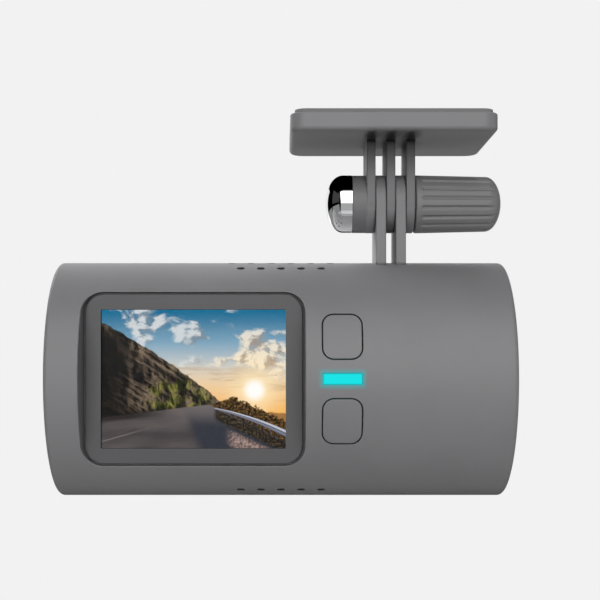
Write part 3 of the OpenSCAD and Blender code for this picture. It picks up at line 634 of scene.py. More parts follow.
def build_knob():
    """Thumb knob: a smooth collar, flutes that fade into the rounded end, and its bore."""
    shell = Shell()
    start, end = KNOB_LOW[0], KNOB_HIGH[0]
    end_r, reach, collar, edge = 6.3 * MM, 3.6 * MM, 1.0 * MM, 0.3 * MM
    taper_start, taper_end = start + collar, end - reach
    pitch, half_width, depth = 2 * math.pi / FLUTES, math.radians(5.2), 0.42 * MM
    first_flute = math.radians(6.4)
    angles = np.linspace(0, 2 * math.pi, 720, endpoint=False)
    offset = np.abs(((angles - first_flute) / pitch + 0.5) % 1 - 0.5) * pitch
    groove = np.where(offset < half_width, 0.5 + 0.5 * np.cos(math.pi * offset / half_width), 0) ** 0.8

    def radii(x, radius):
        fade = smooth((x - taper_start) / (0.9 * MM)) * smooth((end - 1.3 * MM - x) / (2.4 * MM))
        return radius - fade * depth * groove

    profile = arc_points((start + edge, HINGE_R - edge), edge, 180, 90, 5)
    profile += [(x, HINGE_R + (end_r - HINGE_R) * max(0, x - taper_start) / (taper_end - taper_start))
                for x in np.linspace(start + edge, taper_end, 60)[1:]]
    profile += ellipse_points(taper_end, reach, end_r, 30)[1:-1]
    spokes = rows(0, -np.cos(angles), np.sin(angles))
    grid = np.array([HINGE + x * ALONG_X + radii(x, r)[:, None] * spokes for x, r in profile])
    along = np.gradient(grid, axis=0)
    across = np.roll(grid, -1, axis=1) - np.roll(grid, 1, axis=1)
    normals = unit(np.cross(across, along))
    normals *= np.sign((normals * spokes).sum(axis=2, keepdims=True) + 1e-3)
    normals[0] = -ALONG_X
    rings = [shell.add(row) for row in grid]
    shell.strip(list(zip(rings, normals)))
    shell.fan(rings[-1], shell.add([HINGE + end * ALONG_X])[0], normals[-1], ALONG_X)
    bore_r, insert_r, bore_depth, insert_end = 3.6 * MM, 2.5 * MM, 8 * MM, 19.5 * MM
    ledge = start + bore_depth
    inner = [(start, bore_r), (ledge, bore_r), (ledge, insert_r), (insert_end, insert_r)]
    loops = [rings[0]] + [shell.add(HINGE + x * ALONG_X + r * spokes) for x, r in inner]
    shell.chain(loops, (-ALONG_X, -spokes, -ALONG_X, -spokes))
    shell.face(loops[-1], -ALONG_X)
    shell.make("knob_shell", "knob", "knob_plastic", "clamp_knob")


# ---- Keys and light bar ----

def curved_plug(outline, outward, centre, back_y, rim):
    """Plug whose front follows the housing's cylinder, with a rounded rim and straight sides."""
    shell = Shell()
    hole = Hole(outline, outward, centre[0], 0, rim, centre[2])
    edge = on_cylinder(hole.flat, 0, HOUSING_R)
    normal = cylinder_normals(edge)
    out3 = rows(outward[:, 0], 0, outward[:, 1])
    tangent = unit(out3 - (out3 * normal).sum(axis=1, keepdims=True) * normal)
    start = edge - rim * tangent
    end = edge - rim * FORWARD
    rings = rounded_rings(shell, (start, edge, end), (normal, out3), RIM_STEPS)
    shell.strip(rings)
    back = shell.add(rows(end[:, 0], back_y, end[:, 2]))
    shell.bridge(rings[-1][0], back, out3)
    shell.face(back, -FORWARD)
    tip = centre[[0, 2]]
    flat = (start - AXIS)[:, [0, 2]]
    front = [(rings[0][0], normal)]
    for k in np.linspace(1, 0, 11)[1:-1]:
        spots = on_cylinder(tip + (flat - tip) * k, 0, HOUSING_R)
        front.append((shell.add(spots), cylinder_normals(spots)))
    shell.strip(front)
    tip = on_cylinder(tip[None, :], 0, HOUSING_R)
    shell.fan(front[-1][0], shell.add(tip)[0], front[-1][1], cylinder_normals(tip)[0])
    return shell


def build_key(node, body):
    centre, width, height = key_face(node)
    outline, outward = rounded_outline(width, height, KEY_CORNER_R, 10, 6, 8)
    shell = curved_plug(outline, outward, centre, KEY_BACK, 0.22 * MM)
    shell.make(node + "_shell", body, "key_plastic", node)


def build_light_guide():
    width, _, height = size("light_guide")
    outline, outward = rounded_outline(width, height, 0.12 * MM, 3, 8, 3)
    centre, back = middle("light_guide") - AXIS, frame_box("light_guide")[1][1]
    shell = curved_plug(outline, outward, centre, back, 0.08 * MM)
    shell.make("light_guide_shell", "camera", "light_cyan", "light_guide")


# ---- Display ----

def facing_driver(points2, height):
    """Points of a plane that faces -Y, about the window's middle; height is the y coordinate."""
    return rows(WINDOW_MIDDLE[0] + points2[:, 0], height, WINDOW_MIDDLE[2] + points2[:, 1])


def build_window():
    """Cover glass in two pieces: the printed border, and the clear part over the picture."""
    width, _, height = size("display_window")
    outline, outward = rounded_outline(width, height, RECESS_CORNER_R - WINDOW_GAP, *WINDOW_STEPS)
    opening, _ = rounded_outline(PICTURE_W, PICTURE_H, 0.3 * MM, *WINDOW_STEPS)
    opening = opening + np.array([PICTURE_SHIFT, 0])
    side = rows(outward[:, 0], 0, outward[:, 1])
    front, back = WINDOW_LOW[1], WINDOW_HIGH[1]
    edge = 0.15 * MM

    border = Shell()
    turn = []
    for angle in np.radians(np.linspace(0, 90, 6)):
        flat = outline - outward * edge * (1 - math.cos(angle))
        depth = front + edge * (1 - math.sin(angle))
        normals = unit(math.cos(angle) * side + math.sin(angle) * FORWARD)
        turn.append((border.add(facing_driver(flat, depth)), normals))
    border.strip(turn)
    loops = [turn[-1][0]]
    for flat, depth in ((opening, front), (opening, back), (outline, back)):
        loops.append(border.add(facing_driver(flat, depth)))
    border.chain(loops + [turn[0][0]], (FORWARD, -side, -FORWARD, side))

    pane = Shell()
    loops = [pane.add(facing_driver(opening, depth)) for depth in (front, back)]
    pane.face(loops[0], FORWARD)
    pane.face(loops[1], -FORWARD)
    pane.bridge(*loops, side)
    border.make("window_border", "camera", "window_glass", "display_window")
    pane = pane.make("window_pane", "camera", "window_glass", "display_window")
    pane.data.materials[0] = clear_glass().material


def build_nose():
    """Lens nose on the road side: a rounded ring with stepped baffles inside."""
    shell = Shell()
    front, root = frame_box("lens_nose")[1][1], 16 * MM
    edge, lip, chamfer = 0.8 * MM, 0.3 * MM, 1.5 * MM
    step, step_r = 0.65 * MM, NOSE_BORE_R + 0.15 * MM
    profile = [(root, NOSE_BORE_R), (root, NOSE_R)]
    profile += arc_points((front - edge, NOSE_R - edge), edge, 90, 0, 8)
    profile += arc_points((front - lip, NOSE_BORE_R + 0.9 * MM), lip, 0, -60, 4)
    profile += [(front - chamfer, NOSE_BORE_R)]
    for i in range(3):
        depth = front - chamfer - i * step
        profile += [(depth - 0.25 * MM, NOSE_BORE_R), (depth - 0.35 * MM, step_r),
                    (depth - 0.55 * MM, step_r), (depth - step, NOSE_BORE_R)]
    profile += [(root, NOSE_BORE_R)]
    centre = np.array([middle("lens_nose")[0], 0, AXIS[2]])
    lathe(shell, profile, centre, (0, 1, 0), (1, 0, 0), steps=128)
    shell.make("nose_shell", "camera", "nose_black", "lens_nose")


# ---- Shader tools ----

def feed(tree, socket, value):
    """Links a socket to a field or to another socket, or sets it to a plain value."""
    value = value.socket if isinstance(value, Field) else value
    if isinstance(value, bpy.types.NodeSocket):
        tree.links.new(value, socket)
    else:
        socket.default_value = value


class Field:
    """A number that varies over a surface. Ordinary arithmetic on it adds Math nodes."""

    def __init__(self, tree, socket):
        self.tree = tree
        self.socket = socket

    def join(self, operation, *others, swap=False):
        """Field that a Math node makes from this one and others."""
        node = self.tree.nodes.new("ShaderNodeMath")
        node.operation = operation
        for socket, value in zip(node.inputs, (*others, self) if swap else (self, *others)):
            feed(self.tree, socket, value)
        return Field(self.tree, node.outputs[0])

    __add__ = __radd__ = partialmethod(join, "ADD")
    __mul__ = __rmul__ = partialmethod(join, "MULTIPLY")
    __sub__ = partialmethod(join, "SUBTRACT")
    __rsub__ = partialmethod(join, "SUBTRACT", swap=True)
    __truediv__ = partialmethod(join, "DIVIDE")
    __pow__ = partialmethod(join, "POWER")
    __abs__ = partialmethod(join, "ABSOLUTE")
    most = partialmethod(join, "MAXIMUM")

    def rise(self, low, high):
        """0 below low, 1 above high, and smooth between them; low may be above high."""
        node = self.tree.nodes.new("ShaderNodeMapRange")
        node.interpolation_type = "SMOOTHSTEP"
        ends = sorted([(low, 0.0), (high, 1.0)])
        for (at, value), name in zip(ends, ("Min", "Max")):
            node.inputs["From " + name].default_value = at
            node.inputs["To " + name].default_value = value
        feed(self.tree, node.inputs["Value"], self)
        return Field(self.tree, node.outputs["Result"])


class Paint:
    """Node tree of one material, with short calls for what the recipes below need."""

    def __init__(self, name, base=None, **values):
        self.name = name
        self.material = bpy.data.materials.new(name)
        self.material.use_nodes = True
        self.tree = self.material.node_tree
        self.shader = self.tree.nodes["Principled BSDF"]
        self.place = self.tree.nodes.new("ShaderNodeTexCoord").outputs["Object"]
        self.axes = None
        self.set(**values)
        if base:
            self.set(Base_Color=(*base, 1))

    def set(self, **values):
        """Feeds the shader's sockets. An underscore stands for a space in a socket's name."""
        self.feed(self.shader, values)
        return self

    def feed(self, node, values):
        for key, value in values.items():
            feed(self.tree, node.inputs[key.replace("_", " ")], value)

    def node(self, kind, **values):
        """New shader node with its sockets fed."""
        made = self.tree.nodes.new("ShaderNode" + kind)
        self.feed(made, values)
        return made

    def axis(self, index):
        """The x, y or z of the point, in metres."""
        if self.axes is None:
            split = self.node("SeparateXYZ", Vector=self.place)
            self.axes = [Field(self.tree, out) for out in split.outputs]
        return self.axes[index]

    def beyond(self, index, centre, reach=0.0):
        """How far the point is from a place along an axis, less a reach."""
        return abs(self.axis(index) - float(centre)) - float(reach)

    def vector(self, x, y, z=0.0):
        return self.node("CombineXYZ", X=x, Y=y, Z=z).outputs[0]

    def noise(self, scale, detail=2.0, rough=0.5, at=None, distortion=0.0):
        node = self.node("TexNoise", Scale=scale, Detail=detail, Roughness=rough, Distortion=distortion,
                         Vector=at or self.place)
        return Field(self.tree, node.outputs["Fac"])

    def mix(self, factor, first, second):
        """Colour between two colours or colour sockets."""
        node = self.node("Mix")
        node.data_type = "RGBA"
        feed(self.tree, node.inputs["Factor"], factor)
        for key, value in (("A", first), ("B", second)):
            socket = [s for s in node.inputs if s.name == key and s.type == "RGBA"][0]
            feed(self.tree, socket, (*value, 1) if isinstance(value, tuple) else value)
        return [s for s in node.outputs if s.type == "RGBA"][0]

    def shades(self, factor, colour, low, high):
        """Colour between two shades of one colour."""
        return self.mix(factor, scaled(colour, low), scaled(colour, high))

    def edge(self, radius):
        """About 0 on flat and round faces and up to 1 within radius of a sharp or tightly rounded edge."""
        bevel = self.node("Bevel", Radius=radius)
        bevel.samples = 4
        dot = self.node("VectorMath")
        dot.operation = "DOT_PRODUCT"
        feed(self.tree, dot.inputs[0], bevel.outputs[0])
        feed(self.tree, dot.inputs[1], self.node("NewGeometry").outputs["Normal"])
        return (1.0 - Field(self.tree, dot.outputs["Value"])).rise(0.004, 0.15)

    def open_air(self, distance):
        """1 in the open, and less in corners that are tight at the scale of the distance."""
        corner = self.node("AmbientOcclusion", Distance=distance)
        corner.samples = 8
        return Field(self.tree, corner.outputs["AO"])

    def colour(self, socket):
        return self.set(Base_Color=socket)

    def towards(self, factor, colour):
        """Turns the colour so far towards another one."""
        plain = self.shader.inputs["Base Color"].links[0].from_socket
        return self.colour(self.mix(factor, plain, colour))

    def darken(self, factor, how_dark):
        """Turns the colour so far towards a dark one, given as a part of the body's grey."""
        return self.towards(factor, scaled(BODY_GREY, how_dark))

    def roughness(self, field):
        return self.set(Roughness=field)

    def bump(self, height, distance):
        node = self.node("Bump", Distance=distance, Strength=1.0, Height=height)
        return self.set(Normal=node.outputs[0])

    def glow(self, socket, strength=1.0):
        return self.set(Emission_Color=socket, Emission_Strength=strength)


def grey(level, tint=(1.0, 1.0, 1.0)):
    """Linear colour from an sRGB-like grey level of 0 to 1 and a tint."""
    value = ((level + 0.055) / 1.055) ** 2.4
    return tuple(value * t for t in tint)


def scaled(colour, factor):
    return tuple(min(1.0, c * factor) for c in colour)


def moulded(name, colour, rough=0.5, grain=9000.0, wear=0.18):
    """Injection-moulded plastic: spark-eroded grain, slight blotches, and edges rubbed lighter."""
    paint = Paint(name)
    fine = paint.noise(grain, 3.0, 0.6)
    broad = paint.noise(60.0, 3.0)
    body = paint.shades(broad.rise(0.3, 0.7), colour, 0.965, 1.035)
    speckled = paint.mix(fine.rise(0.35, 0.75) * 0.35, body, scaled(colour, 1.12))
    worn = paint.edge(0.25 * MM) * paint.noise(700.0).rise(0.3, 0.7) * wear
    paint.colour(paint.mix(worn, speckled, scaled(colour, 1.9)))
    paint.roughness(broad * 0.08 + fine * 0.08 + (rough - 0.08) - worn * 0.2)
    paint.bump(fine, 0.006 * MM)
    return paint


def metal(name, colour, rough, brush=0.0):
    """Metal with faint turning or rolling marks, and duller patches."""
    paint = Paint(name, Metallic=1.0)
    stretch = paint.vector(paint.axis(0) * (1.0 - brush), paint.axis(1), paint.axis(2))
    lines = paint.noise(5200.0, 3.0, 0.6, at=stretch)
    dull = paint.noise(180.0, 3.0, 0.6)
    paint.colour(paint.shades(dull.rise(0.35, 0.7), colour, 0.92, 1.04))
    worn = paint.edge(0.15 * MM) * 0.15
    paint.roughness(lines * 0.10 + dull * 0.06 + (rough - 0.08) + worn)
    paint.bump(lines, 0.002 * MM)
    return paint


# ---- Materials ----

BODY_GREY = grey(0.463, (1.0, 0.992, 1.022))


def beside_light(paint):
    """How far a point is outside the light bar's sides, along x and z. Inside it is less than 0."""
    centre, half = middle("light_guide"), size("light_guide") / 2
    return [paint.beyond(index, centre[index], half[index]) for index in (0, 2)]


def housing_plastic():
    """Body plastic, with a painted teal glow round the light bar and painted shade inside the vents."""
    paint = moulded("housing_plastic", BODY_GREY)
    # Painted light: a teal glow painted round the light bar, on the housing's colour darkened there.
    out_x, out_z = (out.most(0.0) for out in beside_light(paint))
    near = ((out_x * out_x + out_z * out_z) ** 0.5).rise(1.5 * MM, -0.15 * MM) ** 1.4
    near = near * paint.axis(1).rise(-20 * MM, -24 * MM)
    paint.darken(near, 0.3)
    paint.glow(paint.mix(near, (0, 0, 0), (0.0, 0.27, 0.29)))
    # Painted shade on the walls of the vents, where they sink below the skin.
    up = paint.beyond(2, AXIS[2])
    radius = (up * up + paint.axis(1) * paint.axis(1)) ** 0.5
    sunk = radius.rise(HOUSING_R - 0.01 * MM, HOUSING_R - 0.12 * MM)
    among_vents = up.rise(21.4 * MM, 22.4 * MM) * paint.beyond(0, AXIS[0]).rise(14 * MM, 13 * MM)
    paint.darken(sunk * among_vents * 0.78, 0.12)
    return paint


def key_plastic():
    return moulded("key_plastic", BODY_GREY, wear=0.3)


def knob_plastic():
    return moulded("knob_plastic", grey(0.455, (1.0, 1.0, 1.02)), wear=0.25)


def cap_chrome():
    paint = Paint("cap_chrome", Metallic=1.0)
    smudge = paint.noise(260.0, 4.0, 0.6)
    paint.colour(paint.mix(smudge.rise(0.4, 0.7), (0.86, 0.87, 0.88), (0.92, 0.92, 0.93)))
    paint.roughness(smudge.rise(0.45, 0.8) * 0.05 + 0.035)
    paint.bump(paint.noise(420.0), 0.001 * MM)
    return paint


def printed_glass():
    """Border of the cover glass, printed grey from behind."""
    colour = grey(0.285, (0.985, 0.975, 1.03))
    paint = Paint("window_glass")
    fine = paint.noise(5200.0, 2.0, 0.6)
    haze = paint.noise(55.0, 3.0)
    paint.colour(paint.shades(haze.rise(0.3, 0.7), colour, 0.97, 1.03))
    paint.roughness(haze * 0.06 + fine * 0.04 + 0.30)
    paint.bump(fine, 0.001 * MM)
    return paint


def clear_glass():
    """Clear part of the cover glass, coated against reflections."""
    paint = Paint("window_pane", Transmission_Weight=1.0, IOR=1.06)
    smudge = paint.noise(90.0, 4.0, 0.6)
    paint.colour(paint.mix(smudge.rise(0.4, 0.8), (1.0, 1.0, 1.0), (0.975, 0.98, 0.985)))
    paint.roughness(smudge.rise(0.5, 0.9) * 0.02)
    return paint


def light_cyan():
    """Lit light guide: an even cyan core that softens towards its edges."""
    paint = Paint("light_cyan", (0.002, 0.02, 0.02), Roughness=0.45, Specular_IOR_Level=0.1)
    out_x, out_z = beside_light(paint)
    core = out_x.rise(0.2 * MM, -0.35 * MM) * out_z.rise(0.35 * MM, -0.45 * MM)
    spots = paint.noise(400.0) * 0.06 + 0.97
    paint.glow(paint.mix(core * spots, (0.01, 0.33, 0.34), (0.0, 0.745, 0.765)))
    return paint


class Picture(Paint):
    """Picture on the display: a made-up hillside road at sunset, drawn by formulas."""

    def __init__(self):
        super().__init__("lcd_picture", (0.003, 0.003, 0.004), Roughness=0.4, Specular_IOR_Level=0.03)
        self.u = (self.axis(0) - float(WINDOW_MIDDLE[0] + PICTURE_SHIFT)) / PICTURE_W + 0.5
        self.v = (self.axis(2) - float(WINDOW_MIDDLE[2])) / PICTURE_H + 0.5
        self.flat = self.vector(self.u * 4.0, self.v * 3.0)
        self.leaves = self.noise(17.0, 5.0, 0.75, at=self.flat)
        scene = self.sky()
        for layer in (self.hillside, self.bushes, self.road, self.verge, self.barrier):
            scene = layer(scene)
        self.glow(scene)

    def spot(self, at_u, at_v, reach_u, reach_v):
        """1 at a place in the picture, falling to 0 at the edge of an ellipse."""
        return (1.0 - ((self.u - at_u) / reach_u) ** 2.0 - ((self.v - at_v) / reach_v) ** 2.0).most(0.0)

    def below(self, line, soft=0.005):
        """1 below a line across the picture."""
        return (self.v - line).rise(soft, -soft)

    def cover(self, colour, *layers):
        """A colour with layers over it, each given as how much of it there is, and its colour."""
        for amount, layer in layers:
            colour = self.mix(amount, colour, layer)
        return colour

    def sky(self):
        """Low sun, heaped clouds at the top, and warm streaks towards the horizon."""
        u, v, spot = self.u, self.v, self.spot
        sun_u, sun_v = 0.83, 0.42
        away = (((u - sun_u) * 1.33) ** 2.0 + (v - sun_v) ** 2.0) ** 0.5
        clear = self.cover((0.92, 0.46, 0.10),
                           (v.rise(0.24, 0.50), (0.86, 0.62, 0.36)), (v.rise(0.42, 0.66), (0.58, 0.60, 0.58)),
                           (v.rise(0.55, 0.80), (0.20, 0.37, 0.50)), (v.rise(0.72, 1.0), (0.008, 0.15, 0.29)))
        puffs, shade = (self.noise(1.5, 8.0, 0.60, distortion=0.25,
                                   at=self.vector(u * 4.2 + v * 0.8 - left, v * 4.6 - u * 0.9 + up, 0.37))
                        for left, up in ((0.0, 0.0), (0.10, 0.13)))
        gather = spot(0.26, 0.90, 0.20, 0.16) + spot(0.49, 0.82, 0.14, 0.10) * 0.8
        gather = gather + spot(0.92, 0.72, 0.30, 0.20) * 1.1 + spot(0.62, 0.63, 0.34, 0.07) * 0.9
        heaps = (puffs + gather * 0.20).rise(0.56, 0.70)
        lit = (puffs - shade + 0.02).rise(-0.05, 0.07)
        warm = away.rise(0.62, 0.18)
        bright = self.mix(warm, (0.66, 0.69, 0.70), (0.94, 0.80, 0.58))
        dim = self.mix(warm, (0.19, 0.26, 0.32), (0.42, 0.30, 0.19))
        streaks = self.noise(1.3, 6.0, 0.6, at=self.vector(u * 2.2, v * 15.0, 4.2), distortion=0.3)
        bands = streaks.rise(0.50, 0.66) * v.rise(0.30, 0.40) * v.rise(0.64, 0.52)
        ridge_top = self.noise(2.2, 4.0, at=self.vector(u * 4.0, 7.3)) * 0.12 + 0.20
        return self.cover(clear,
                          (heaps * 0.92, self.mix(lit, dim, bright)), (bands * 0.75, (0.50, 0.32, 0.16)),
                          (away.rise(0.36, 0.02) ** 2.0 * 0.9, (1.0, 0.80, 0.48)),
                          (away.rise(0.105, 0.03), (1.0, 0.99, 0.95)),
                          (self.below(ridge_top, 0.006), (0.36, 0.17, 0.05)))

    def hillside(self, scene):
        """Hillside on the left: strata along the slope, gullies down it, dark to the left."""
        u, v = self.u, self.v
        rough_edge = self.noise(6.0, 7.0, 0.7, at=self.flat) * 0.06
        hill_top = 0.880 - u * u * 0.30 - u * 0.69 + rough_edge
        deep = hill_top - v
        gully = self.noise(1.0, 9.0, 0.72, distortion=0.5, at=self.vector(u * 22.0, deep * 7.0, 2.1))
        strata = self.noise(1.0, 8.0, 0.70, distortion=0.7, at=self.vector(u * 4.0, deep * 34.0, 6.4))
        grass = self.noise(2.4, 4.0, 0.6, at=self.vector(u * 5.0, v * 5.0, 5.5))
        rock = (gully * 0.5 + strata * 0.5).rise(0.47, 0.60)
        meadow = self.mix(gully.rise(0.44, 0.62), (0.016, 0.020, 0.004), (0.30, 0.28, 0.06))
        green = self.spot(0.42, 0.36, 0.22, 0.17).rise(0.1, 0.7) * grass.rise(0.40, 0.52)
        foot = self.below(u * 0.10 + 0.26, 0.03) * u.rise(0.55, 0.30)
        rim = deep.rise(0.05, 0.005) * u.rise(0.15, 0.5) * gully.rise(0.4, 0.6)
        ground = self.cover((0.006, 0.005, 0.004),
                            (rock, (0.20, 0.145, 0.095)), (green, meadow),
                            (u.rise(0.24, 0.05) * deep.rise(0.02, 0.10) * 0.93, (0.004, 0.004, 0.003)),
                            (foot * 0.8, (0.006, 0.005, 0.003)), (rim * 0.6, (0.30, 0.22, 0.12)))
        return self.mix(self.below(hill_top, 0.004), scene, ground)

    def bushes(self, scene):
        """Bushes on the right of the road."""
        u = self.u
        edge = self.noise(9.0, 6.0, 0.75, at=self.flat) * 0.13 - 0.02
        top = 0.325 - (u - 0.72).most(0.0) * 0.62 + edge * (u - 0.60).rise(0.0, 0.12)
        colour = self.mix(self.leaves.rise(0.45, 0.66), (0.010, 0.008, 0.003), (0.26, 0.13, 0.03))
        return self.mix(self.below(top) * u.rise(0.600, 0.615), scene, colour)

    def road(self, scene):
        """Road with a darker lane, a light edge line and a dark shoulder."""
        u, v = self.u, self.v
        top = u * 0.16 + 0.222 - (u - 0.58).most(0.0) * 0.80
        sweep = self.noise(1.1, 4.0, at=self.vector(u * 2.5 - v * 2.5, v * 7.0, 9.0))
        grain = self.noise(26.0, 3.0, 0.7, at=self.vector(u * 1.0, v * 5.0))
        line = abs(v - top + 0.075 + (0.45 - u).most(0.0) * 0.22).rise(0.006, 0.002) * u.rise(0.34, 0.05)
        shoulder = (v - top).rise(-0.055, -0.02) * u.rise(0.42, 0.15)
        tarmac = self.cover((0.052, 0.046, 0.048),
                            (sweep.rise(0.35, 0.65), (0.100, 0.086, 0.084)),
                            ((u + v * 0.30).rise(0.50, 0.56), (0.030, 0.034, 0.046)),
                            (grain.rise(0.5, 0.9) * 0.25, (0.16, 0.14, 0.13)),
                            (v.rise(0.14, 0.32) * u.rise(0.2, 0.55) * 0.6, (0.24, 0.20, 0.19)),
                            (line * 0.5, (0.30, 0.26, 0.23)),
                            (shoulder * 0.85, (0.014, 0.011, 0.009)))
        return self.mix(self.below(top), scene, tarmac)

    def verge(self, scene):
        """Dark verge and a strip of gravel beyond the road."""
        u = self.u
        over = self.v - (0.285 - (u - 0.60) * 0.62)
        verge = over.rise(-0.085, -0.055) * over.rise(0.02, 0.0) * u.rise(0.60, 0.63)
        gravel = (over + 0.11).rise(0.03, -0.01) * (over + 0.20).rise(-0.03, 0.01) * u.rise(0.66, 0.74)
        soil = self.mix(self.leaves.rise(0.45, 0.7), (0.012, 0.010, 0.008), (0.12, 0.085, 0.04))
        pebbles = self.mix(self.leaves.rise(0.40, 0.62), (0.10, 0.07, 0.06), (0.44, 0.31, 0.28))
        return self.cover(scene, (verge, soil), (gravel, pebbles))

    def barrier(self, scene):
        """Crash barrier: a pale rail with a dark fold along it, on posts, larger to the right."""
        u = self.u
        near = (u - 0.60).most(0.0) / 0.40
        rail_line = 0.290 - near * 0.110 - near * near * 0.075
        rail_at = (self.v - rail_line) / (near * 0.020 + 0.005)
        silver = self.cover((0.12, 0.13, 0.18), (rail_at.rise(-1.0, 1.0), (0.56, 0.58, 0.66)),
                            (abs(rail_at).rise(0.34, 0.10) * 0.85, (0.04, 0.05, 0.09)))
        phase = ((near * 2.2 + 1.0).join("LOGARITHM", 2.0) * 9.0).join("FRACT")
        posts = phase.rise(0.16, 0.10) * rail_at.rise(-3.2, -2.9) * rail_at.rise(-0.8, -1.0)
        return self.cover(scene, (posts * u.rise(0.64, 0.66), (0.05, 0.05, 0.07)),
                          (abs(rail_at).rise(1.1, 0.85) * u.rise(0.606, 0.618), silver))


def plate_plastic():
    """Plate plastic, with painted shade in its corners, in front of the fins' roots, on the fins' fronts and
    on the boss.
    """
    paint = moulded("plate_plastic", BODY_GREY)
    # Painted shade in corners, from ambient occlusion.
    paint.darken(paint.open_air(3.0 * MM).rise(0.80, 0.35) * 0.45, 0.22)
    underside, hinge_x = float(PLATE_LOW_FACE), float(HINGE[0])
    # Painted shade on the underside in front of the fins, across their width.
    ahead = (paint.axis(1) + HINGE_R + 4.8 * MM) / (6.6 * MM)
    under = (paint.axis(2) - underside + 0.3 * MM) / (2.4 * MM)
    across = paint.beyond(0, hinge_x).rise(FIN_PITCH + 2.6 * MM, FIN_PITCH + 0.6 * MM)
    shade = abs(ahead).rise(1.0, 0.5) * abs(under).rise(0.6, 0.3) * across
    paint.darken(shade * 0.62, 0.2)
    # Painted shade: a dark blob in front of each fin's root.
    for i in (-1, 0, 1):
        beside = (paint.axis(0) - (hinge_x + i * FIN_PITCH)) / (2.3 * MM)
        reach = (beside * beside + ahead * ahead + under * under) ** 0.5
        paint.darken(reach.rise(1.0, 0.4) * 0.93, 0.06)
    # Painted shade on the fins' front faces, darkest next to the plate's underside.
    below = paint.axis(2).rise(underside, underside - 0.2 * MM)
    front = paint.axis(1).rise(-HINGE_R + 0.25 * MM, -HINGE_R) * below
    paint.darken(paint.axis(2).rise(underside - 12 * MM, underside) * front * 0.85, 0.1)
    # More painted shade on the fins' fronts, and on the boss beside them.
    fin_side = hinge_x - FIN_PITCH
    boss = paint.axis(0).rise(fin_side - 0.9 * MM, fin_side - 1.1 * MM) * below
    paint.darken(front.most(boss) * 0.2, 0.1)
    return paint


# Colour, and roughness
PLASTIC_LOOKS = {
    "end_cap_plastic": (grey(0.46), 0.52),
    "pad_foam": (grey(0.46), 0.85), "washer_black": (grey(0.16), 0.45),
    "inner_plastic": (grey(0.18), 0.55), "gasket_black": (grey(0.09), 0.8),
    "backlight_white": (grey(0.85), 0.5), "connector_cream": (grey(0.82, (1.0, 0.95, 0.8)), 0.5),
    "chip_black": (grey(0.14), 0.45), "thermal_grey": (grey(0.6), 0.8),
    "capacitor_sleeve": (grey(0.13, (0.8, 0.9, 1.3)), 0.35), "card_black": (grey(0.12), 0.4),
    "speaker_black": (grey(0.12), 0.55), "nose_black": (grey(0.15), 0.38),
    "barrel_black": (grey(0.10), 0.5), "ring_black": (grey(0.12), 0.28),
    "plunger_white": (grey(0.8), 0.4),
}
METAL_LOOKS = {
    "bolt_steel": ((0.60, 0.60, 0.62), 0.28), "insert_brass": ((0.72, 0.50, 0.20), 0.25),
    "screw_steel": ((0.30, 0.30, 0.31), 0.35), "sheet_steel": ((0.58, 0.58, 0.60), 0.32),
    "heat_sink_aluminium": ((0.70, 0.71, 0.72), 0.35), "microphone_can": ((0.75, 0.72, 0.62), 0.25),
    "socket_steel": ((0.62, 0.62, 0.64), 0.26),
}


def board_green():
    """Solder mask with the faint relief of the copper below it."""
    paint = moulded("board_green", (0.012, 0.075, 0.035), 0.35, grain=3000.0, wear=0.1)
    tracks = paint.noise(900.0, 1.0, 0.2)
    paint.bump(tracks.rise(0.45, 0.55), 0.01 * MM)
    return paint


def flex_copper():
    return metal("flex_copper", (0.55, 0.26, 0.08), 0.42)


def coated_lens(name, thickness):
    """Lens glass with a coating that shows violet and green in its reflections."""
    paint = Paint(name, (0.004, 0.004, 0.006), IOR=1.55, Thin_Film_Thickness=thickness, Thin_Film_IOR=1.8)
    dust = paint.noise(700.0, 3.0)
    paint.roughness(dust.rise(0.6, 0.9) * 0.03 + 0.02)
    return paint


def sensor_chip():
    paint = Paint("sensor_chip", Metallic=0.4)
    bands = paint.noise(2500.0, 1.0)
    paint.colour(paint.mix(bands, (0.03, 0.05, 0.09), (0.10, 0.05, 0.12)))
    paint.roughness(bands * 0.1 + 0.1)
    return paint


def led_cyan():
    paint = Paint("led_cyan", (0.4, 0.6, 0.55), Roughness=0.3)
    spots = paint.noise(900.0, 1.0)
    paint.glow(paint.mix(spots, (0.0, 0.6, 0.65), (0.1, 0.9, 0.95)), 1.5)
    return paint


def make_materials():
    """Every material but the pane's, by the name of its slot."""
    made = [moulded(name, *look) for name, look in PLASTIC_LOOKS.items()]
    made += [metal(name, *look, brush=0.85) for name, look in METAL_LOOKS.items()]
    made += [recipe() for recipe in (housing_plastic, plate_plastic, key_plastic, knob_plastic, cap_chrome,
                                     printed_glass, light_cyan, Picture, board_green, flex_copper)]
    made += [coated_lens("lens_glass", 420.0), coated_lens("filter_glass", 550.0), sensor_chip(), led_cyan()]
    return {paint.name: paint.material for paint in made}


def paint_cad_nodes():
    """Gives every CAD node that stays the material of the slot that its node names."""
    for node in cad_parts.values():
        for slot in node.material_slots:
            name = slot.material.name.split(".")[0]
            slot.material = MATERIALS.get(name, slot.material)


MATERIALS = make_materials()
build_window()
build_housing()
build_mount()
build_pad()
build_bolt_cap()
build_knob()
build_key("upper_button", "upper_key")
build_key("lower_button", "lower_key")
build_light_guide()
build_nose()
paint_cad_nodes()


# ---- Camera and light ----

VIEW_DISTANCE = 0.3063
BACKDROP = 0.888
FLOOR_R = 2.0
FLOOR_Z = -1.2
FLOOR_GREY = 0.5
AMBIENT = 0.01
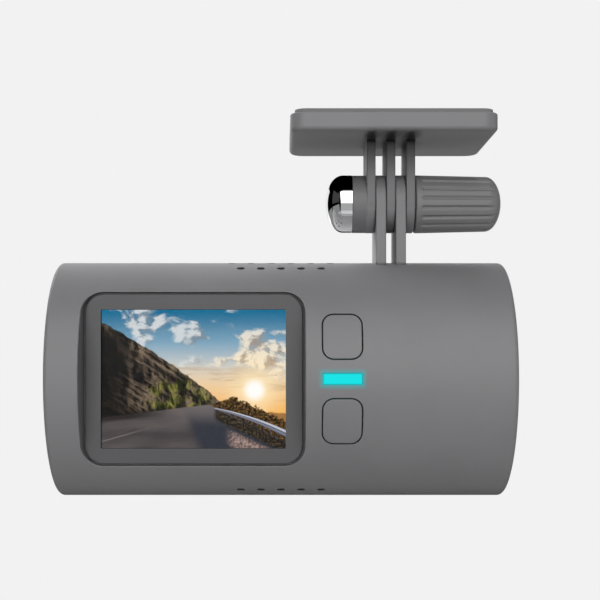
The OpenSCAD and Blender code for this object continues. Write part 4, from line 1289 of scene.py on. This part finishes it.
# Soft boxes: place from the housing's middle, size, radiance, and whether shiny parts mirror them
SOFT_BOXES = {
    "key": ((0.0, -0.943, 0.567), (1.2, 1.32), 2.1, True),
    "front_low": ((0.0, -1.023, -0.403), (1.2, 0.87), 0.42, True),
    "left_low": ((-1.0, -0.3, -0.40), (1.3, 0.75), 0.24, True),
    "left_high": ((-1.0, -0.3, 0.42), (1.3, 0.7), 0.05, True),
    "behind_low": ((-0.80, 0.78, -0.40), (1.2, 0.75), 0.24, True),
    "front": ((0.0, -1.2, 0.0), (1.0, 1.0), 1.43, False),
    "top": ((0.0, 0.0, 1.2), (0.9, 0.9), 0.3, False),
    "top_left": ((-0.62, -0.1, 0.95), (0.45, 0.45), 2.0, False),
    "back_left": ((-0.7, 0.7, 0.6), (0.6, 0.6), 13.5, False),
    "left_back": ((-0.9, 0.8, 0.1), (0.8, 0.8), 2.0, False),
    "right": ((1.2, 0.1, 0.0), (0.8, 0.8), 2.2, False),
    "back_high": ((-0.1, 0.9, 0.8), (1.2, 0.7), 9.8, False),
    "back": ((0.0, 1.2, 0.12), (2.0, 0.9), 0.9, True),
}


def add_camera():
    data = bpy.data.cameras.new("camera")
    data.sensor_width = 36
    data.lens = 79.2
    data.shift_x = 0.0317
    data.shift_y = 0.1317
    data.clip_start = 0.01
    camera = put("camera", data)
    camera.location = (AXIS[0], -VIEW_DISTANCE, AXIS[2])
    camera.rotation_euler = (math.radians(90), 0, 0)
    bpy.context.scene.camera = camera


def add_soft_box(name, place, extent, radiance, mirrored):
    """Soft box at a place given from the housing's middle, turned towards it."""
    data = bpy.data.lights.new(name, "AREA")
    data.shape = "RECTANGLE"
    data.size, data.size_y = extent
    data.energy = math.pi * extent[0] * extent[1] * radiance
    light = put(name, data)
    light.location = AXIS + np.array(place)
    light.rotation_euler = Vector(-np.array(place)).to_track_quat("-Z", "Y").to_euler()
    light.visible_camera = False
    light.visible_glossy = mirrored


def as_backdrop(tree, shader, output):
    """Shows the view the backdrop's even paleness, while everything else gets the shader given."""
    seen = tree.nodes.new("ShaderNodeBackground" if output == "World Output" else "ShaderNodeEmission")
    seen.inputs["Color"].default_value = (BACKDROP, BACKDROP, BACKDROP, 1)
    rays = tree.nodes.new("ShaderNodeLightPath")
    mix = tree.nodes.new("ShaderNodeMixShader")
    tree.links.new(rays.outputs["Is Camera Ray"], mix.inputs["Fac"])
    tree.links.new(shader.outputs[0], mix.inputs[1])
    tree.links.new(seen.outputs[0], mix.inputs[2])
    tree.links.new(mix.outputs[0], tree.nodes[output].inputs["Surface"])


def add_world():
    """Even pale backdrop, and a much weaker even light from all round."""
    world = bpy.data.worlds.new("studio")
    bpy.context.scene.world = world
    world.use_nodes = True
    world.cycles_visibility.glossy = False
    tree = world.node_tree
    lit = tree.nodes["Background"]
    lit.inputs["Color"].default_value = (1, 1, 1, 1)
    lit.inputs["Strength"].default_value = AMBIENT
    as_backdrop(tree, lit, "World Output")


def add_card(name, corners, paint):
    """Flat staging object."""
    mesh = bpy.data.meshes.new(name)
    mesh.from_pydata(corners, [], [range(len(corners))])
    mesh.materials.append(paint.material)
    card = put(name, mesh)
    return card


def add_floor():
    """Round pale floor well below the hanging camera."""
    outline, _ = circle_outline(FLOOR_R, 96)
    paint = Paint("floor_pale", Roughness=0.9, Specular_IOR_Level=0.1)
    pale = (FLOOR_GREY, FLOOR_GREY, FLOOR_GREY)
    paint.colour(paint.shades(paint.noise(3.0), pale, 0.98, 1.02))
    as_backdrop(paint.tree, paint.shader, "Material Output")
    add_card("floor", rows(AXIS[0] + outline[:, 0], outline[:, 1], FLOOR_Z).tolist(), paint)


def add_flag(name, left, right, front, back, height, for_chrome):
    """Level black card that only one kind of light sees: the chrome's reflections, or soft bounces."""
    corners = [(left, front, height), (right, front, height), (right, back, height), (left, back, height)]
    flag = add_card(name, corners, Paint(name + "_black", (0, 0, 0), Specular_IOR_Level=0.0))
    flag.visible_camera = False
    flag.visible_diffuse = not for_chrome
    flag.visible_glossy = for_chrome
    flag.visible_shadow = False
    flag.visible_transmission = False


def add_flags():
    """One card keeps the top of the chrome cap dark, the other the underside of the housing."""
    add_flag("cap_flag", CAP_LOW[0] - 6 * MM, CAP_HIGH[0], -10 * MM, 10 * MM, CAP_HIGH[2] + 0.8 * MM, True)
    across, below = float(AXIS[0]), float(AXIS[2]) - HOUSING_R - 50 * MM
    add_flag("under_flag", across - 90 * MM, across + 90 * MM, -18 * MM, 80 * MM, below, False)


add_camera()
add_world()
add_floor()
add_flags()
for box_name, box in SOFT_BOXES.items():
    add_soft_box(box_name, *box)
bpy.context.scene.view_settings.view_transform = "Standard"
